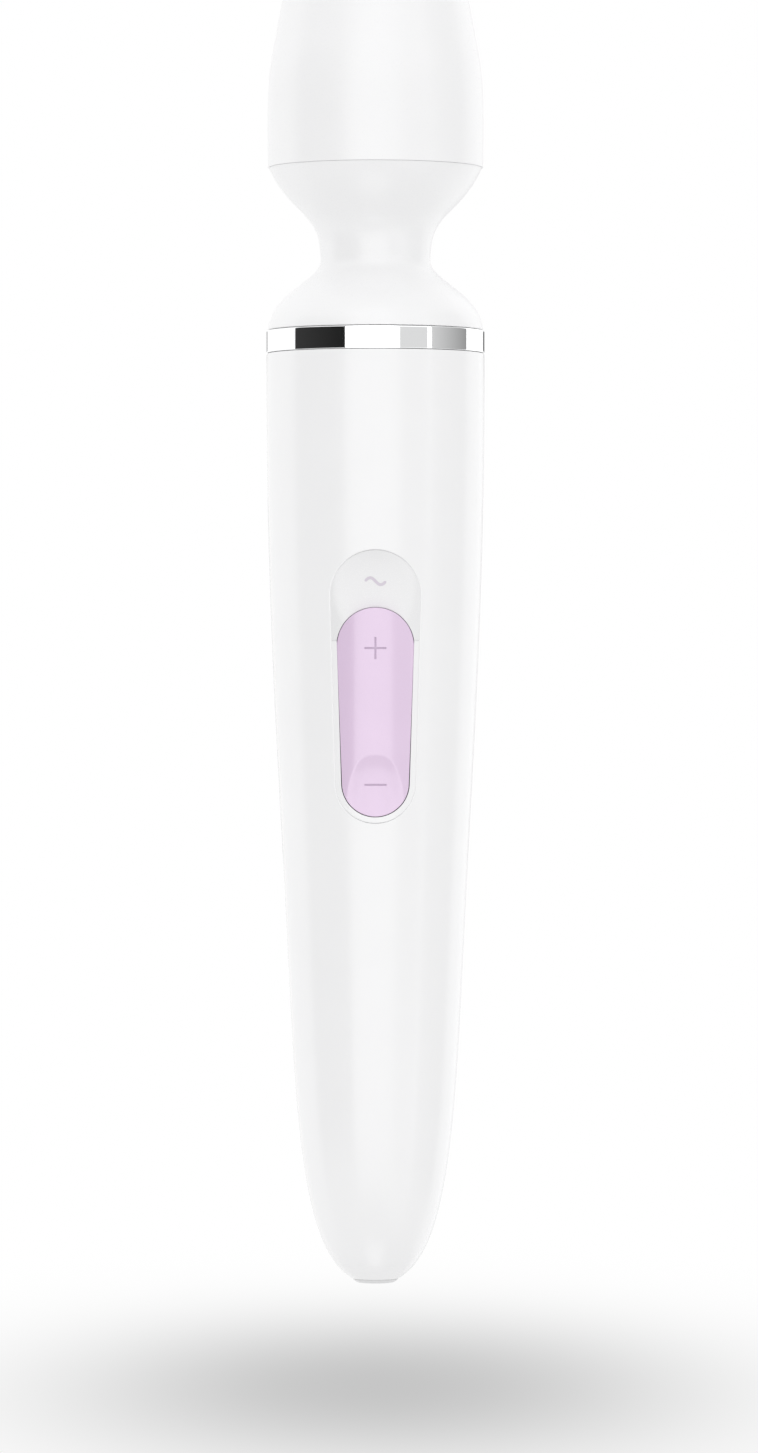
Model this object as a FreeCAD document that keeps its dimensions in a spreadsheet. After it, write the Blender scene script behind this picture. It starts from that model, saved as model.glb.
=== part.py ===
import FreeCAD, Part
import math
import os
import re
import Sketcher
from FreeCAD import Placement, Rotation, Vector

# Handheld wand massager. Every height in the sheet is measured up the wand's axis from the
# tip of the handle. Each sub-part is then lowered by grip_height, so that the origin lies on
# the axis in the middle of the grip. The wand runs along +Z with its head up, and its
# controls face -Y.

SIZES = {
    "grip_height": 90.0,
    # Handle outline: control points of the curve from the end plug to the chrome ring.
    "nose_radius": 5.6, "nose_height": 0.95,
    "heel_radius": 9.7, "heel_height": 3.2, "heel_inner_height": 4.8,
    "butt_radius": 15.8, "butt_height": 12.5, "butt_inner_height": 14.0,
    "shank_radius": 20.5, "shank_height": 45.7,
    "palm_radius": 22.5, "palm_height": 99.4,
    "yoke_radius": 27.5, "yoke_height": 181.0,
    "handle_radius": 27.25, "handle_top": 232.2,
    "shell_wall": 2.2,
    "floor_radius": 7.4, "floor_height": 3.6,
    "boss_radius": 3.0, "boss_offset": 11.5, "boss_low": 212.0, "web_width": 3.0, "web_reach": 23.6,
    # Chrome ring, neck base and the seat of the neck's core.
    "ring_low": 232.3, "ring_high": 237.9, "ring_bore": 24.5, "ring_bevel": 0.2, "ring_round": 0.4,
    "base_low": 228.0, "base_floor": 231.0, "base_lip": 0.5, "base_radius": 24.9,
    "base_hub": 22.8, "base_hub_top": 237.6, "base_screw_length": 12.0,
    "seat_radius": 20.9, "seat_wall": 2.3, "seat_shoulder": 240.0, "seat_step": 1.0,
    "seat_top": 246.2, "seat_top_radius": 15.0, "seat_roof": 3.0, "seat_roof_radius": 13.1,
    "lead_bore": 5.6,
    # Silicone neck sleeve: control points of its outside, from the ring up to the head.
    "foot_radius": 26.9, "foot_height": 238.05,
    "shoulder_radius": 26.5, "shoulder_height": 243.3,
    "slope_radius": 18.9, "slope_height": 249.4,
    "throat_radius": 13.4, "throat_height": 253.5,
    "waist_radius": 13.8, "waist_height": 257.6,
    "flare_radius": 14.6, "flare_height": 265.4,
    "bowl_radius": 23.8, "bowl_height": 272.0,
    "lip_radius": 26.4, "lip_height": 278.5, "lip_inner_radius": 24.4,
    "shoulder_inner_radius": 23.5, "shoulder_inner_height": 242.3,
    "skirt_inner_radius": 22.9, "skirt_outer_radius": 24.4, "skirt_low": 233.2,
    "sleeve_wall": 2.2, "sleeve_slant": 1.6,
    "core_radius": 10.6, "core_low_flange": 14.6, "core_high_flange": 12.2, "core_flange_height": 1.8,
    "core_top": 265.8, "core_bore": 8.0,
    "spring_radius": 6.6, "spring_wire": 0.9, "spring_pitch": 3.0,
    # Silicone head cap: control points of its outside, from the seam to the crown.
    "rim_radius": 26.9, "rim_height": 278.7,
    "belly_radius": 27.0, "belly_height": 287.3,
    "upper_radius": 27.2, "upper_height": 301.1,
    "taper_radius": 25.0, "taper_height": 310.7,
    "brow_radius": 22.6, "brow_height": 326.0,
    "crown_radius": 17.0, "crown_height": 342.0,
    "cap_wall": 2.6, "housing_wall": 1.8, "housing_joint": 286.0, "fit_gap": 0.15,
    # Lower housing of the head: a pan under the sleeve's bowl, with the motor's cradle in it.
    "pan_foot_radius": 12.5, "pan_knee_radius": 15.2, "pan_knee_height": 268.4,
    "pan_side_radius": 20.0, "pan_side_height": 273.2, "pan_rim_height": 279.3, "pan_inner_height": 279.9,
    "pan_floor_radius": 19.0, "pan_floor_height": 275.4,
    "cradle_bore": 15.6, "cradle_tube": 18.0, "cradle_radius": 20.4, "cradle_neck_height": 291.6,
    "cradle_ring_low": 294.0, "cradle_low": 273.5, "cradle_top": 303.0,
    "bell_pocket": 14.1, "bell_seat": 269.8,
    "clamp_thickness": 2.6, "clamp_bore": 14.2,
    "clamp_screw_circle": 18.2, "clamp_screw_length": 9.0, "clamp_hole_depth": 10.0,
    # Motor and its eccentric weight, upright in the head.
    "motor_radius": 13.85, "motor_wall": 1.0, "motor_low": 273.0, "motor_high": 307.0,
    "bell_low": 270.2, "spigot_wall": 2.0, "spigot_top": 274.0,
    "bearing_boss": 4.0, "bearing_boss_top": 309.0, "bearing_radius": 2.6, "bush_inset": 0.2,
    "magnet_thickness": 2.2, "magnet_overhang": 1.0,
    "armature_radius": 10.2, "armature_low": 281.0, "armature_high": 300.0,
    "slot_width": 2.6, "slot_floor": 4.5,
    "winding_radius": 8.6, "winding_overhang": 2.4,
    "commutator_radius": 3.2, "commutator_low": 273.4, "commutator_high": 277.8,
    "brush_height": 275.4, "brush_rise": 2.4, "brush_width": 3.0, "brush_length": 5.0, "brush_arm": 1.0,
    "shaft_radius": 1.15, "shaft_low": 270.9, "shaft_high": 325.0,
    "weight_radius": 13.5, "weight_low": 311.5, "weight_high": 323.5, "weight_hub": 4.0,
    # End plug with the magnetic charging contacts.
    "tip_flat": 4.0, "tip_edge_radius": 5.0, "tip_edge_height": 0.1, "plug_shoulder": 0.92,
    "plug_stem": 5.1, "plug_bore": 5.15, "plug_flange": 7.0, "plug_flange_top": 5.6, "plug_top": 9.0,
    "contact_radius": 1.1, "contact_spacing": 4.4, "contact_recess": 0.1,
    "magnet_radius": 1.2, "magnet_offset": 2.9, "magnet_low": 1.4, "magnet_length": 4.0,
    "seal_wire": 0.5, "seal_low": 1.65, "charge_board_radius": 8.0, "charge_board_top": 10.2,
    # Battery cell.
    "cell_radius": 9.15, "cell_low": 20.2, "cell_length": 65.0, "cell_bevel": 0.8,
    "cell_cap_radius": 3.2, "cell_cap_height": 1.0, "crimp_drop": 2.9, "crimp_depth": 0.5,
    "tab_side": 7.0, "tab_thickness": 0.3,
    # Chassis: the battery's tray, the plate above it and the posts and stands.
    "tray_inner": 9.45, "tray_outer": 11.4, "tray_low": 17.4, "tray_high": 90.0,
    "tray_end": 1.5, "tray_end_hole": 5.0,
    "chassis_front": 12.9, "chassis_back": 10.9, "chassis_half_width": 11.0,
    "chassis_low": 60.0, "chassis_high": 206.0,
    "window_half_width": 5.0, "window_low": 92.0, "window_high": 101.0,
    "post_offset": 7.0, "post_radius": 2.8, "post_hole_depth": 10.0,
    "low_post": 104.0, "low_post_wall": 20.8, "high_post": 200.5, "high_post_wall": 25.0,
    "stand_offset": 9.0, "stand_inset": 6.0, "stand_radius": 2.2,
    # Main board and what stands on it.
    "board_front": 15.0, "board_back": 13.4, "board_half_width": 12.5,
    "board_low": 112.0, "board_high": 196.0, "board_screw_length": 3.6, "chassis_screw_length": 9.0,
    "switch_side": 6.0, "switch_depth": 2.4, "switch_stem_radius": 1.7, "switch_stem_length": 3.2,
    "connector_depth": 3.0, "connector_height": 5.5, "connector_inset": 1.0,
    "battery_connector_width": 10.0, "motor_connector_width": 6.0,
    "control_chip_side": 6.0, "control_chip_depth": 1.0, "control_chip_low": 148.0,
    "drive_chip_width": 5.0, "drive_chip_height": 4.0, "drive_chip_depth": 1.2, "drive_chip_low": 184.0,
    # Control panel: two end circles of the recess and of the rocker, and the panel's cone.
    "recess_high": 171.4, "recess_high_radius": 11.2, "recess_low": 125.0, "recess_low_radius": 9.9,
    "rocker_high": 158.8, "rocker_high_radius": 9.5, "rocker_low": 125.0, "rocker_low_radius": 8.35,
    "panel_low_radius": 23.9, "panel_low_height": 115.0,
    "panel_high_radius": 26.75, "panel_high_height": 183.0,
    "blank_front": 32.0, "blank_half_width": 15.0,
    "bezel_gap": 0.1, "bezel_wall": 1.15, "bezel_inset": 0.25, "bezel_step": 19.3,
    "ear_inner": 7.0, "ear_outer": 9.6, "ear_half_height": 2.5, "ear_half_depth": 1.5,
    "key_gap": 0.35, "key_side_gap": 0.25, "key_thickness": 2.4,
    "mode_inset": 0.1, "mode_thickness": 3.0, "button_floor": 160.2,
    "plunger_back": 20.0, "plunger_sink": 1.5, "plunger_radius": 1.7,
    "membrane_front": 19.2, "membrane_back": 18.3, "membrane_gap": 0.4, "slot_half_height": 4.0,
    "rocker_proud": 0.15, "rocker_pivot": 142.5, "pivot_depth": 19.0,
    "pin_radius": 1.0, "pin_half_length": 8.9,
    "hub_back": 17.4, "hub_half_width": 5.0, "hub_half_height": 2.4,
    "dish_height": 172.0, "dish_radius": 35.0, "dish_depth": 1.9,
    "scoop_radius": 20.0, "scoop_depth": 1.2,
    "mode_height": 174.85, "plus_height": 158.35, "minus_height": 124.6,
    "mark_span": 5.4, "mark_stroke": 0.5, "mark_depth": 0.4,
    # Leads and fasteners.
    "lead_radius": 0.6, "lead_gap": 2.4, "charge_lead_gap": 6.8, "lead_clearance": 1.5,
    "lead_pass_depth": 8.0, "lead_pass_low": 95.5, "lead_pass_high": 102.0,
    "lead_back_depth": 10.4, "lead_turn_depth": 4.0, "lead_turn_height": 94.0,
    "cell_lead_depth": 3.0, "cell_lead_low": 17.8, "cell_lead_high": 93.0,
    "charge_lead_depth": 6.0, "charge_lead_bend": 14.4,
    "motor_lead_bend": 225.0, "motor_lead_landing": 212.0,
    "screw_shank": 1.1, "screw_head": 2.1, "screw_head_height": 1.6, "running_gap": 0.05,
}

# The two magnets' starting angles and the angle that each spans, and the armature's slots.
MAGNET_TURNS = (15, 195)
MAGNET_SWEEP = 150
ARMATURE_SLOTS = 3

doc = FreeCAD.newDocument("wand_massager")
sheet = doc.addObject("Spreadsheet::Sheet", "Sizes")
for row, (alias, number) in enumerate(SIZES.items(), start=1):
    sheet.set(f"A{row}", alias)
    sheet.set(f"B{row}", str(number))
    sheet.setAlias(f"B{row}", alias)
doc.recompute()

sub_parts = []


def bound(text):
    """The expression with the sheet's name in front of each of its aliases."""
    return re.sub(r"[a-z]\w*", lambda word: f"Sizes.{word[0]}" if word[0] in SIZES else word[0], str(text))


def size(text):
    """The value that an expression of sheet aliases has now."""
    return float(sheet.evalExpression(bound(text)))


def keep(item, label, height="0"):
    """Name a finished sub-part and lower it so that the grip's middle is the origin."""
    item.Label = label
    item.setExpression("Placement.Base.z", bound(f"{height} - grip_height"))
    sub_parts.append(item)
    return item


# ---- sketches ----------------------------------------------------------------------------

def origin_plane(body, role):
    return next(plane for plane in body.Origin.OriginFeatures if plane.Role == role)


def new_sketch(body, name, role="XZ_Plane", offset="0"):
    """A sketch on one of the body's own origin planes, moved along the plane's normal."""
    sketch = body.newObject("Sketcher::SketchObject", name)
    sketch.AttachmentSupport = [(origin_plane(body, role), "")]
    sketch.MapMode = "FlatFace"
    sketch.AttachmentOffset = Placement(Vector(0, 0, size(offset)), Rotation())
    sketch.setExpression("AttachmentOffset.Base.z", bound(offset))
    return sketch


def fix_point(sketch, geometry, end, x, y):
    """Hold one point of a sketch at two expressions."""
    for axis, text in (("DistanceX", x), ("DistanceY", y)):
        if size(text) == 0:
            line = -2 if axis == "DistanceX" else -1
            sketch.addConstraint(Sketcher.Constraint("PointOnObject", geometry, end, line))
            continue
        index = sketch.addConstraint(Sketcher.Constraint(axis, -1, 1, geometry, end, size(text)))
        sketch.setExpression(f"Constraints[{index}]", bound(text))


def add_curve(sketch, points):
    """A line between two points, or a cubic curve where control points lie between them."""
    places = [Vector(size(x), size(y), 0) for x, y in points]
    if len(places) == 2:
        line = sketch.addGeometry(Part.LineSegment(*places))
        return line
    degree = min(3, len(places) - 1)
    curve = sketch.addGeometry(Part.BSplineCurve(places, None, None, False, degree, None, False))
    knobs = []
    for number, (place, point) in enumerate(zip(places, points)):
        knob = sketch.addGeometry(Part.Circle(place, Vector(0, 0, 1), 1.0), True)
        sketch.addConstraint(
            Sketcher.Constraint("InternalAlignment:Sketcher::BSplineControlPoint", knob, 3, curve, number)
        )
        if knobs:
            sketch.addConstraint(Sketcher.Constraint("Equal", knobs[0], knob))
        else:
            sketch.addConstraint(Sketcher.Constraint("Weight", knob, 1.0))
        knobs.append(knob)
        if 0 < number < len(places) - 1:
            fix_point(sketch, knob, 3, *point)
    return curve


def outline(sketch, points):
    """A closed outline. A point marked "pull" is a control point of the curve that passes it."""
    corners = [index for index, point in enumerate(points) if len(point) == 2]
    order = points[corners[0]:] + points[:corners[0]] + [points[corners[0]]]
    runs = [[order[0]]]
    for point in order[1:]:
        runs[-1].append(point[:2])
        if len(point) == 2:
            runs.append([point])
    curves = [add_curve(sketch, run) for run in runs if len(run) > 1]
    for index, curve in enumerate(curves):
        following = curves[(index + 1) % len(curves)]
        sketch.addConstraint(Sketcher.Constraint("Coincident", curve, 2, following, 1))
        fix_point(sketch, curve, 1, *runs[index][0])


def add_circles(sketch, circles):
    for x, y, radius in circles:
        circle = sketch.addGeometry(Part.Circle(Vector(size(x), size(y), 0), Vector(0, 0, 1), size(radius)))
        index = sketch.addConstraint(Sketcher.Constraint("Radius", circle, size(radius)))
        sketch.setExpression(f"Constraints[{index}]", bound(radius))
        fix_point(sketch, circle, 3, x, y)


def add_box(sketch, left, right, low, high):
    outline(sketch, [(left, low), (right, low), (right, high), (left, high)])


def add_pill(sketch, high, high_radius, low, low_radius):
    """Two end circles on the Y axis of the sketch, joined by their outer tangents."""
    top, bottom = Vector(0, size(high), 0), Vector(0, size(low), 0)
    top_radius, bottom_radius = size(high_radius), size(low_radius)
    lean = math.asin((top_radius - bottom_radius) / (top - bottom).Length)
    side = Vector(math.cos(lean), -math.sin(lean), 0)
    mirror = Vector(-side.x, side.y, 0)
    up = Vector(0, 0, 1)
    top_circle = Part.Circle(top, up, top_radius)
    low_circle = Part.Circle(bottom, up, bottom_radius)
    upper = sketch.addGeometry(Part.ArcOfCircle(top_circle, -lean, math.pi + lean))
    left = sketch.addGeometry(Part.LineSegment(top + mirror * top_radius, bottom + mirror * bottom_radius))
    lower = sketch.addGeometry(Part.ArcOfCircle(low_circle, math.pi + lean, 2 * math.pi - lean))
    right = sketch.addGeometry(Part.LineSegment(bottom + side * bottom_radius, top + side * top_radius))
    for first, second in ((upper, left), (left, lower), (lower, right), (right, upper)):
        sketch.addConstraint(Sketcher.Constraint("Tangent", first, 2, second, 1))
    for arc, height, radius in ((upper, high, high_radius), (lower, low, low_radius)):
        index = sketch.addConstraint(Sketcher.Constraint("Radius", arc, size(radius)))
        sketch.setExpression(f"Constraints[{index}]", bound(radius))
        fix_point(sketch, arc, 3, "0", height)


# ---- features ----------------------------------------------------------------------------

def new_body(label):
    return doc.addObject("PartDesign::Body", label)


def revolve(body, points, angle=360, towards_front=False):
    """Turn a closed outline, drawn as (radius, height), about the wand's axis."""
    sketch = new_sketch(body, f"{body.Name}_outline")
    outline(sketch, points)
    feature = body.newObject("PartDesign::Revolution", f"{body.Name}_turned")
    feature.Profile = sketch
    feature.ReferenceAxis = (sketch, ["V_Axis"])
    feature.Angle = angle
    feature.Reversed = towards_front
    doc.recompute()
    return feature


def groove(body, points):
    """Turn away everything inside a closed outline of (radius, height) points."""
    before = body.Shape.Volume
    sketch = new_sketch(body, f"{body.Name}_groove_outline")
    outline(sketch, points)
    feature = body.newObject("PartDesign::Groove", f"{body.Name}_groove")
    feature.Profile = sketch
    feature.ReferenceAxis = (sketch, ["V_Axis"])
    feature.Angle = 360
    doc.recompute()
    check_cut(body, before)
    return feature


def pad(body, draw, role, start, length):
    """Extrude a sketch along its plane's normal, from start: +Z for XY, -Y for XZ, +X for YZ."""
    sketch = new_sketch(body, f"{body.Name}_pad_outline", role, start)
    draw(sketch)
    feature = body.newObject("PartDesign::Pad", f"{body.Name}_pad")
    feature.Profile = sketch
    feature.Length = size(length)
    feature.setExpression("Length", bound(length))
    doc.recompute()
    return feature


def pocket(body, draw, role, start, length, both_ways=False):
    """Cut a sketch back against its plane's normal from start, or half of length each way."""
    before = body.Shape.Volume
    sketch = new_sketch(body, f"{body.Name}_pocket_outline", role, start)
    draw(sketch)
    feature = body.newObject("PartDesign::Pocket", f"{body.Name}_pocket")
    feature.Profile = sketch
    feature.Midplane = both_ways
    feature.Length = size(length)
    feature.setExpression("Length", bound(length))
    doc.recompute()
    check_cut(body, before)
    return feature


def check_cut(body, before):
    if body.Shape.Volume > before * (1 - 1e-6):
        raise RuntimeError(f"a cut in {body.Label} removes nothing")


def circles(*places):
    return lambda sketch: add_circles(sketch, places)


def box(left, right, low, high):
    return lambda sketch: add_box(sketch, left, right, low, high)


def pill(high, high_radius, low, low_radius):
    return lambda sketch: add_pill(sketch, high, high_radius, low, low_radius)


def turned(label, points):
    """A sub-part that is one turned ring or disc."""
    body = new_body(label)
    revolve(body, points)
    return keep(body, label)


def tube(label, inner, outer, low, high):
    return turned(label, [(inner, low), (outer, low), (outer, high), (inner, high)])


# ---- primitives and groups ---------------------------------------------------------------

ALONG = {
    "+Z": Rotation(),
    "-Z": Rotation(Vector(1, 0, 0), 180),
    "+Y": Rotation(Vector(1, 0, 0), -90),
    "-Y": Rotation(Vector(1, 0, 0), 90),
    "+X": Rotation(Vector(0, 1, 0), 90),
}


def put(item, x, y, z, along="+Z"):
    item.Placement = Placement(Vector(size(x), size(y), size(z)), ALONG[along])
    for axis, text in zip("xyz", (x, y, z)):
        item.setExpression(f"Placement.Base.{axis}", bound(text))
    return item


def cylinder(name, radius, length, x, y, z, along="+Z"):
    item = doc.addObject("Part::Cylinder", name)
    item.setExpression("Radius", bound(radius))
    item.setExpression("Height", bound(length))
    return put(item, x, y, z, along)


def block(name, width, depth, height, x, y, z):
    """A box by its lowest corner."""
    item = doc.addObject("Part::Box", name)
    for side, text in (("Length", width), ("Width", depth), ("Height", height)):
        item.setExpression(side, bound(text))
    return put(item, x, y, z)


def fuse(name, shapes):
    item = doc.addObject("Part::MultiFuse", name)
    item.Shapes = shapes
    return item


def cut(name, base, tool):
    item = doc.addObject("Part::Cut", name)
    item.Base = base
    item.Tool = tool
    return item


def group(label, shapes):
    """Separate solids that share one sub-part."""
    item = doc.addObject("Part::Compound", label)
    item.Links = shapes
    return keep(item, label)


def screws(label, places, along, shank_length, shank="screw_shank", head="screw_head"):
    """Pan-head screws. Each place is where a head bears, and along points from the head to its tip."""
    back = {"-Z": "+Z", "+Y": "-Y"}[along]
    made = []
    for number, (x, y, z) in enumerate(places):
        name = f"{label}_{number}"
        shaft = cylinder(f"{name}_shank", shank, shank_length, x, y, z, along)
        top = cylinder(f"{name}_head", head, "screw_head_height", x, y, z, back)
        made.append(fuse(name, [shaft, top]))
    return group(label, made)


def lead_pair(label, half_gap, routes):
    """Insulated leads. Each route is a list of (y, z) corners, and lies at one side of x = 0."""
    bend_share = 0.45
    leads = []
    for side, route in zip((-1, 1), routes):
        corners = [Vector(side * size(half_gap), size(y), size(z)) for y, z in route]
        edges = []
        start = corners[0]
        for before, corner, after in zip(corners, corners[1:], corners[2:]):
            arriving = (corner - before).normalize()
            leaving = (after - corner).normalize()
            half_turn = arriving.getAngle(leaving) / 2
            reach = bend_share * min((corner - before).Length, (after - corner).Length)
            bend_start = corner - arriving * reach
            bend_end = corner + leaving * reach
            radius = reach / math.tan(half_turn)
            centre = bend_start + (leaving - arriving * arriving.dot(leaving)).normalize() * radius
            middle = centre + (corner - centre).normalize() * radius
            edges.append(Part.LineSegment(start, bend_start).toShape())
            edges.append(Part.Arc(bend_start, middle, bend_end).toShape())
            start = bend_end
        edges.append(Part.LineSegment(start, corners[-1]).toShape())
        first = (corners[1] - corners[0]).normalize()
        ring = Part.Wire(Part.Circle(corners[0], first, size("lead_radius")).toShape())
        leads.append(Part.Wire(edges).makePipeShell([ring], True, False))
    item = doc.addObject("Part::Feature", label)
    item.Shape = Part.makeCompound(leads)
    return keep(item, label)


# ---- handle shells -----------------------------------------------------------------------

HANDLE_OUTSIDE = [
    ("nose_radius", "nose_height"),
    ("heel_radius", "heel_height", "pull"),
    ("butt_radius", "butt_height", "pull"),
    ("shank_radius", "shank_height", "pull"),
    ("palm_radius", "palm_height", "pull"),
    ("yoke_radius", "yoke_height", "pull"),
    ("handle_radius", "handle_top"),
]
HANDLE_INSIDE = [
    ("handle_radius - shell_wall", "handle_top"),
    ("yoke_radius - shell_wall", "yoke_height", "pull"),
    ("palm_radius - shell_wall", "palm_height", "pull"),
    ("shank_radius - shell_wall", "shank_height", "pull"),
    ("butt_radius - shell_wall", "butt_inner_height", "pull"),
    ("floor_radius + shell_wall", "heel_inner_height", "pull"),
    ("floor_radius", "floor_height"),
    ("plug_bore", "floor_height"),
    ("plug_bore", "nose_height"),
]
RECESS = ("recess_high", "recess_high_radius", "recess_low", "recess_low_radius")
ROCKER = ("rocker_high", "rocker_high_radius", "rocker_low", "rocker_low_radius")
THROUGH = "80"
SIGNS = ("", "-")
SCREW_HOLE = "screw_shank + running_gap"


def pill_with(ends, extra):
    high, high_radius, low, low_radius = ends
    return pill(high, f"{high_radius} + ({extra})", low, f"{low_radius} + ({extra})")


def add_top_bosses(body, side):
    """Two posts under the neck base, each tied to the wall by a web. side is the sign of y."""
    places = [(f"{sign}boss_offset", f"{side}boss_offset") for sign in SIGNS]
    height = "base_low - boss_low"
    half = "web_width / 2"
    for sign in SIGNS:
        web = box(
            f"{sign}boss_offset", f"{sign}web_reach",
            f"{side}boss_offset - {half}", f"{side}boss_offset + {half}",
        )
        pad(body, web, "XY_Plane", "boss_low", height)
    pad(body, circles(*[(x, y, "boss_radius") for x, y in places]), "XY_Plane", "boss_low", height)
    holes = circles(*[(x, y, SCREW_HOLE) for x, y in places])
    pocket(body, holes, "XY_Plane", "base_low", "base_screw_length")


def front_shell():
    """The front half of the handle, with the opening for the controls."""
    body = new_body("handle_front_shell")
    revolve(body, HANDLE_OUTSIDE + HANDLE_INSIDE, 180, towards_front=True)
    pocket(body, pill(*RECESS), "XZ_Plane", "0", THROUGH, both_ways=True)
    add_top_bosses(body, "-")
    return keep(body, "handle_front_shell")


def rear_shell():
    """The rear half of the handle, with the posts that carry the chassis."""
    body = new_body("handle_rear_shell")
    revolve(body, HANDLE_OUTSIDE + HANDLE_INSIDE, 180)
    for height, wall_depth in (("low_post", "low_post_wall"), ("high_post", "high_post_wall")):
        sides = [(f"{sign}post_offset", height) for sign in SIGNS]
        posts = circles(*[(x, z, "post_radius") for x, z in sides])
        pad(body, posts, "XZ_Plane", f"-{wall_depth}", f"chassis_back + {wall_depth}")
        holes = circles(*[(x, z, SCREW_HOLE) for x, z in sides])
        pocket(body, holes, "XZ_Plane", "chassis_back", "post_hole_depth")
    add_top_bosses(body, "")
    return keep(body, "handle_rear_shell")


# ---- end plug and charging ---------------------------------------------------------------

def end_plug():
    """The domed plug in the tip, bored for the contacts and the magnets."""
    body = new_body("end_plug")
    groove_depth = "plug_stem - 2 * seal_wire"
    groove_top = "seal_low + 2 * seal_wire"
    flange_low = "floor_height + running_gap"
    revolve(body, [
        ("0", "0"), ("tip_flat", "0"), ("tip_edge_radius", "tip_edge_height", "pull"),
        ("nose_radius", "plug_shoulder"), ("plug_stem", "plug_shoulder"),
        ("plug_stem", "seal_low"), (groove_depth, "seal_low"),
        (groove_depth, groove_top), ("plug_stem", groove_top),
        ("plug_stem", flange_low), ("plug_flange", flange_low),
        ("plug_flange", "plug_flange_top"), ("plug_stem", "plug_flange_top"),
        ("plug_stem", "plug_top"), ("0", "plug_top"),
    ])
    contacts = [(f"{sign}contact_spacing / 2", "0", "contact_radius + running_gap") for sign in SIGNS]
    pocket(body, circles(*contacts), "XY_Plane", "plug_top", "plug_top")
    magnets = [("0", f"{sign}magnet_offset", "magnet_radius + running_gap") for sign in SIGNS]
    pocket(body, circles(*magnets), "XY_Plane", "plug_top", "plug_top - magnet_low")
    return keep(body, "end_plug")


def charging_parts():
    """The two contacts, the two magnets and the seal in the plug, and the board above them."""
    contacts, magnets = [], []
    for number, sign in enumerate(SIGNS):
        contacts.append(cylinder(
            f"charge_contact_{number}", "contact_radius", "plug_top - contact_recess",
            f"{sign}contact_spacing / 2", "0", "contact_recess",
        ))
        magnets.append(cylinder(
            f"charge_magnet_{number}", "magnet_radius", "magnet_length",
            "0", f"{sign}magnet_offset", "magnet_low",
        ))
    group("charge_contacts", contacts)
    group("charge_magnets", magnets)
    ring = doc.addObject("Part::Torus", "plug_seal")
    ring.setExpression("Radius1", bound("plug_stem - seal_wire"))
    ring.setExpression("Radius2", bound("seal_wire"))
    keep(ring, "plug_seal", "seal_low + seal_wire")
    tube("charge_board", "0", "charge_board_radius", "plug_top", "charge_board_top")


# ---- battery, chassis and board ----------------------------------------------------------

def battery_cell():
    """A round cell with a crimp below its raised cap, and a nickel tab on each end."""
    body = new_body("battery_cell")
    top = "cell_low + cell_length"
    shoulder = f"{top} - cell_cap_height"
    crimp = f"{top} - crimp_drop"
    revolve(body, [
        ("0", "cell_low"), ("cell_radius - cell_bevel", "cell_low"),
        ("cell_radius", "cell_low + cell_bevel"), ("cell_radius", f"{crimp} - crimp_depth"),
        ("cell_radius - crimp_depth", crimp), ("cell_radius", f"{crimp} + crimp_depth"),
        ("cell_radius", f"{shoulder} - cell_bevel / 2"), ("cell_radius - cell_bevel", shoulder),
        ("cell_cap_radius", shoulder), ("cell_cap_radius", top), ("0", top),
    ])
    keep(body, "battery_cell")
    side, tab = "tab_side", "tab_thickness"
    group("battery_tabs", [
        block("battery_tab_low", side, side, tab, f"-{side} / 2", f"-{side} / 2", f"cell_low - {tab}"),
        block("battery_tab_high", side, side, tab, f"-{side} / 2", f"-{side} / 2", top),
    ])


def board_stands():
    """The (x, z) places of the four stands that carry the main board."""
    heights = ("board_low + stand_inset", "board_high - stand_inset")
    return [(f"{sign}stand_offset", height) for sign in SIGNS for height in heights]


def post_places():
    """The (x, z) places of the four posts that carry the chassis."""
    return [(f"{sign}post_offset", height) for sign in SIGNS for height in ("low_post", "high_post")]


def chassis():
    """A plate that carries the board, with a half-round tray for the battery below it."""
    body = new_body("chassis")
    length, beyond = "tray_high - tray_low", "tray_outer + tray_end"
    plate = box("-chassis_half_width", "chassis_half_width", "chassis_low", "chassis_high")
    pad(body, plate, "XZ_Plane", "chassis_back", "chassis_front - chassis_back")
    pad(body, circles(("0", "0", "tray_outer")), "XY_Plane", "tray_low", length)
    hollow = circles(("0", "0", "tray_inner"))
    pocket(body, hollow, "XY_Plane", "tray_high - tray_end", f"{length} - 2 * tray_end")
    pocket(body, circles(("0", "0", "tray_end_hole")), "XY_Plane", "tray_high", length)
    rear = box(f"-({beyond})", beyond, "tray_low - tray_end", "tray_high + tray_end")
    pocket(body, rear, "XZ_Plane", "0", beyond)
    window = box("-window_half_width", "window_half_width", "window_low", "window_high")
    pocket(body, window, "XZ_Plane", "chassis_front", "chassis_front - chassis_back")
    stands = circles(*[(x, z, "stand_radius") for x, z in board_stands()])
    pad(body, stands, "XZ_Plane", "chassis_front", "board_back - chassis_front")
    bolts = circles(*[(x, z, SCREW_HOLE) for x, z in board_stands() + post_places()])
    pocket(body, bolts, "XZ_Plane", "board_back", "board_back - chassis_back")
    return keep(body, "chassis")


def on_board(name, width, depth, height, low):
    """A block that stands on the middle of the board's front."""
    return block(name, width, depth, height, f"-{width} / 2", f"-board_front - {depth}", low)


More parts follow.
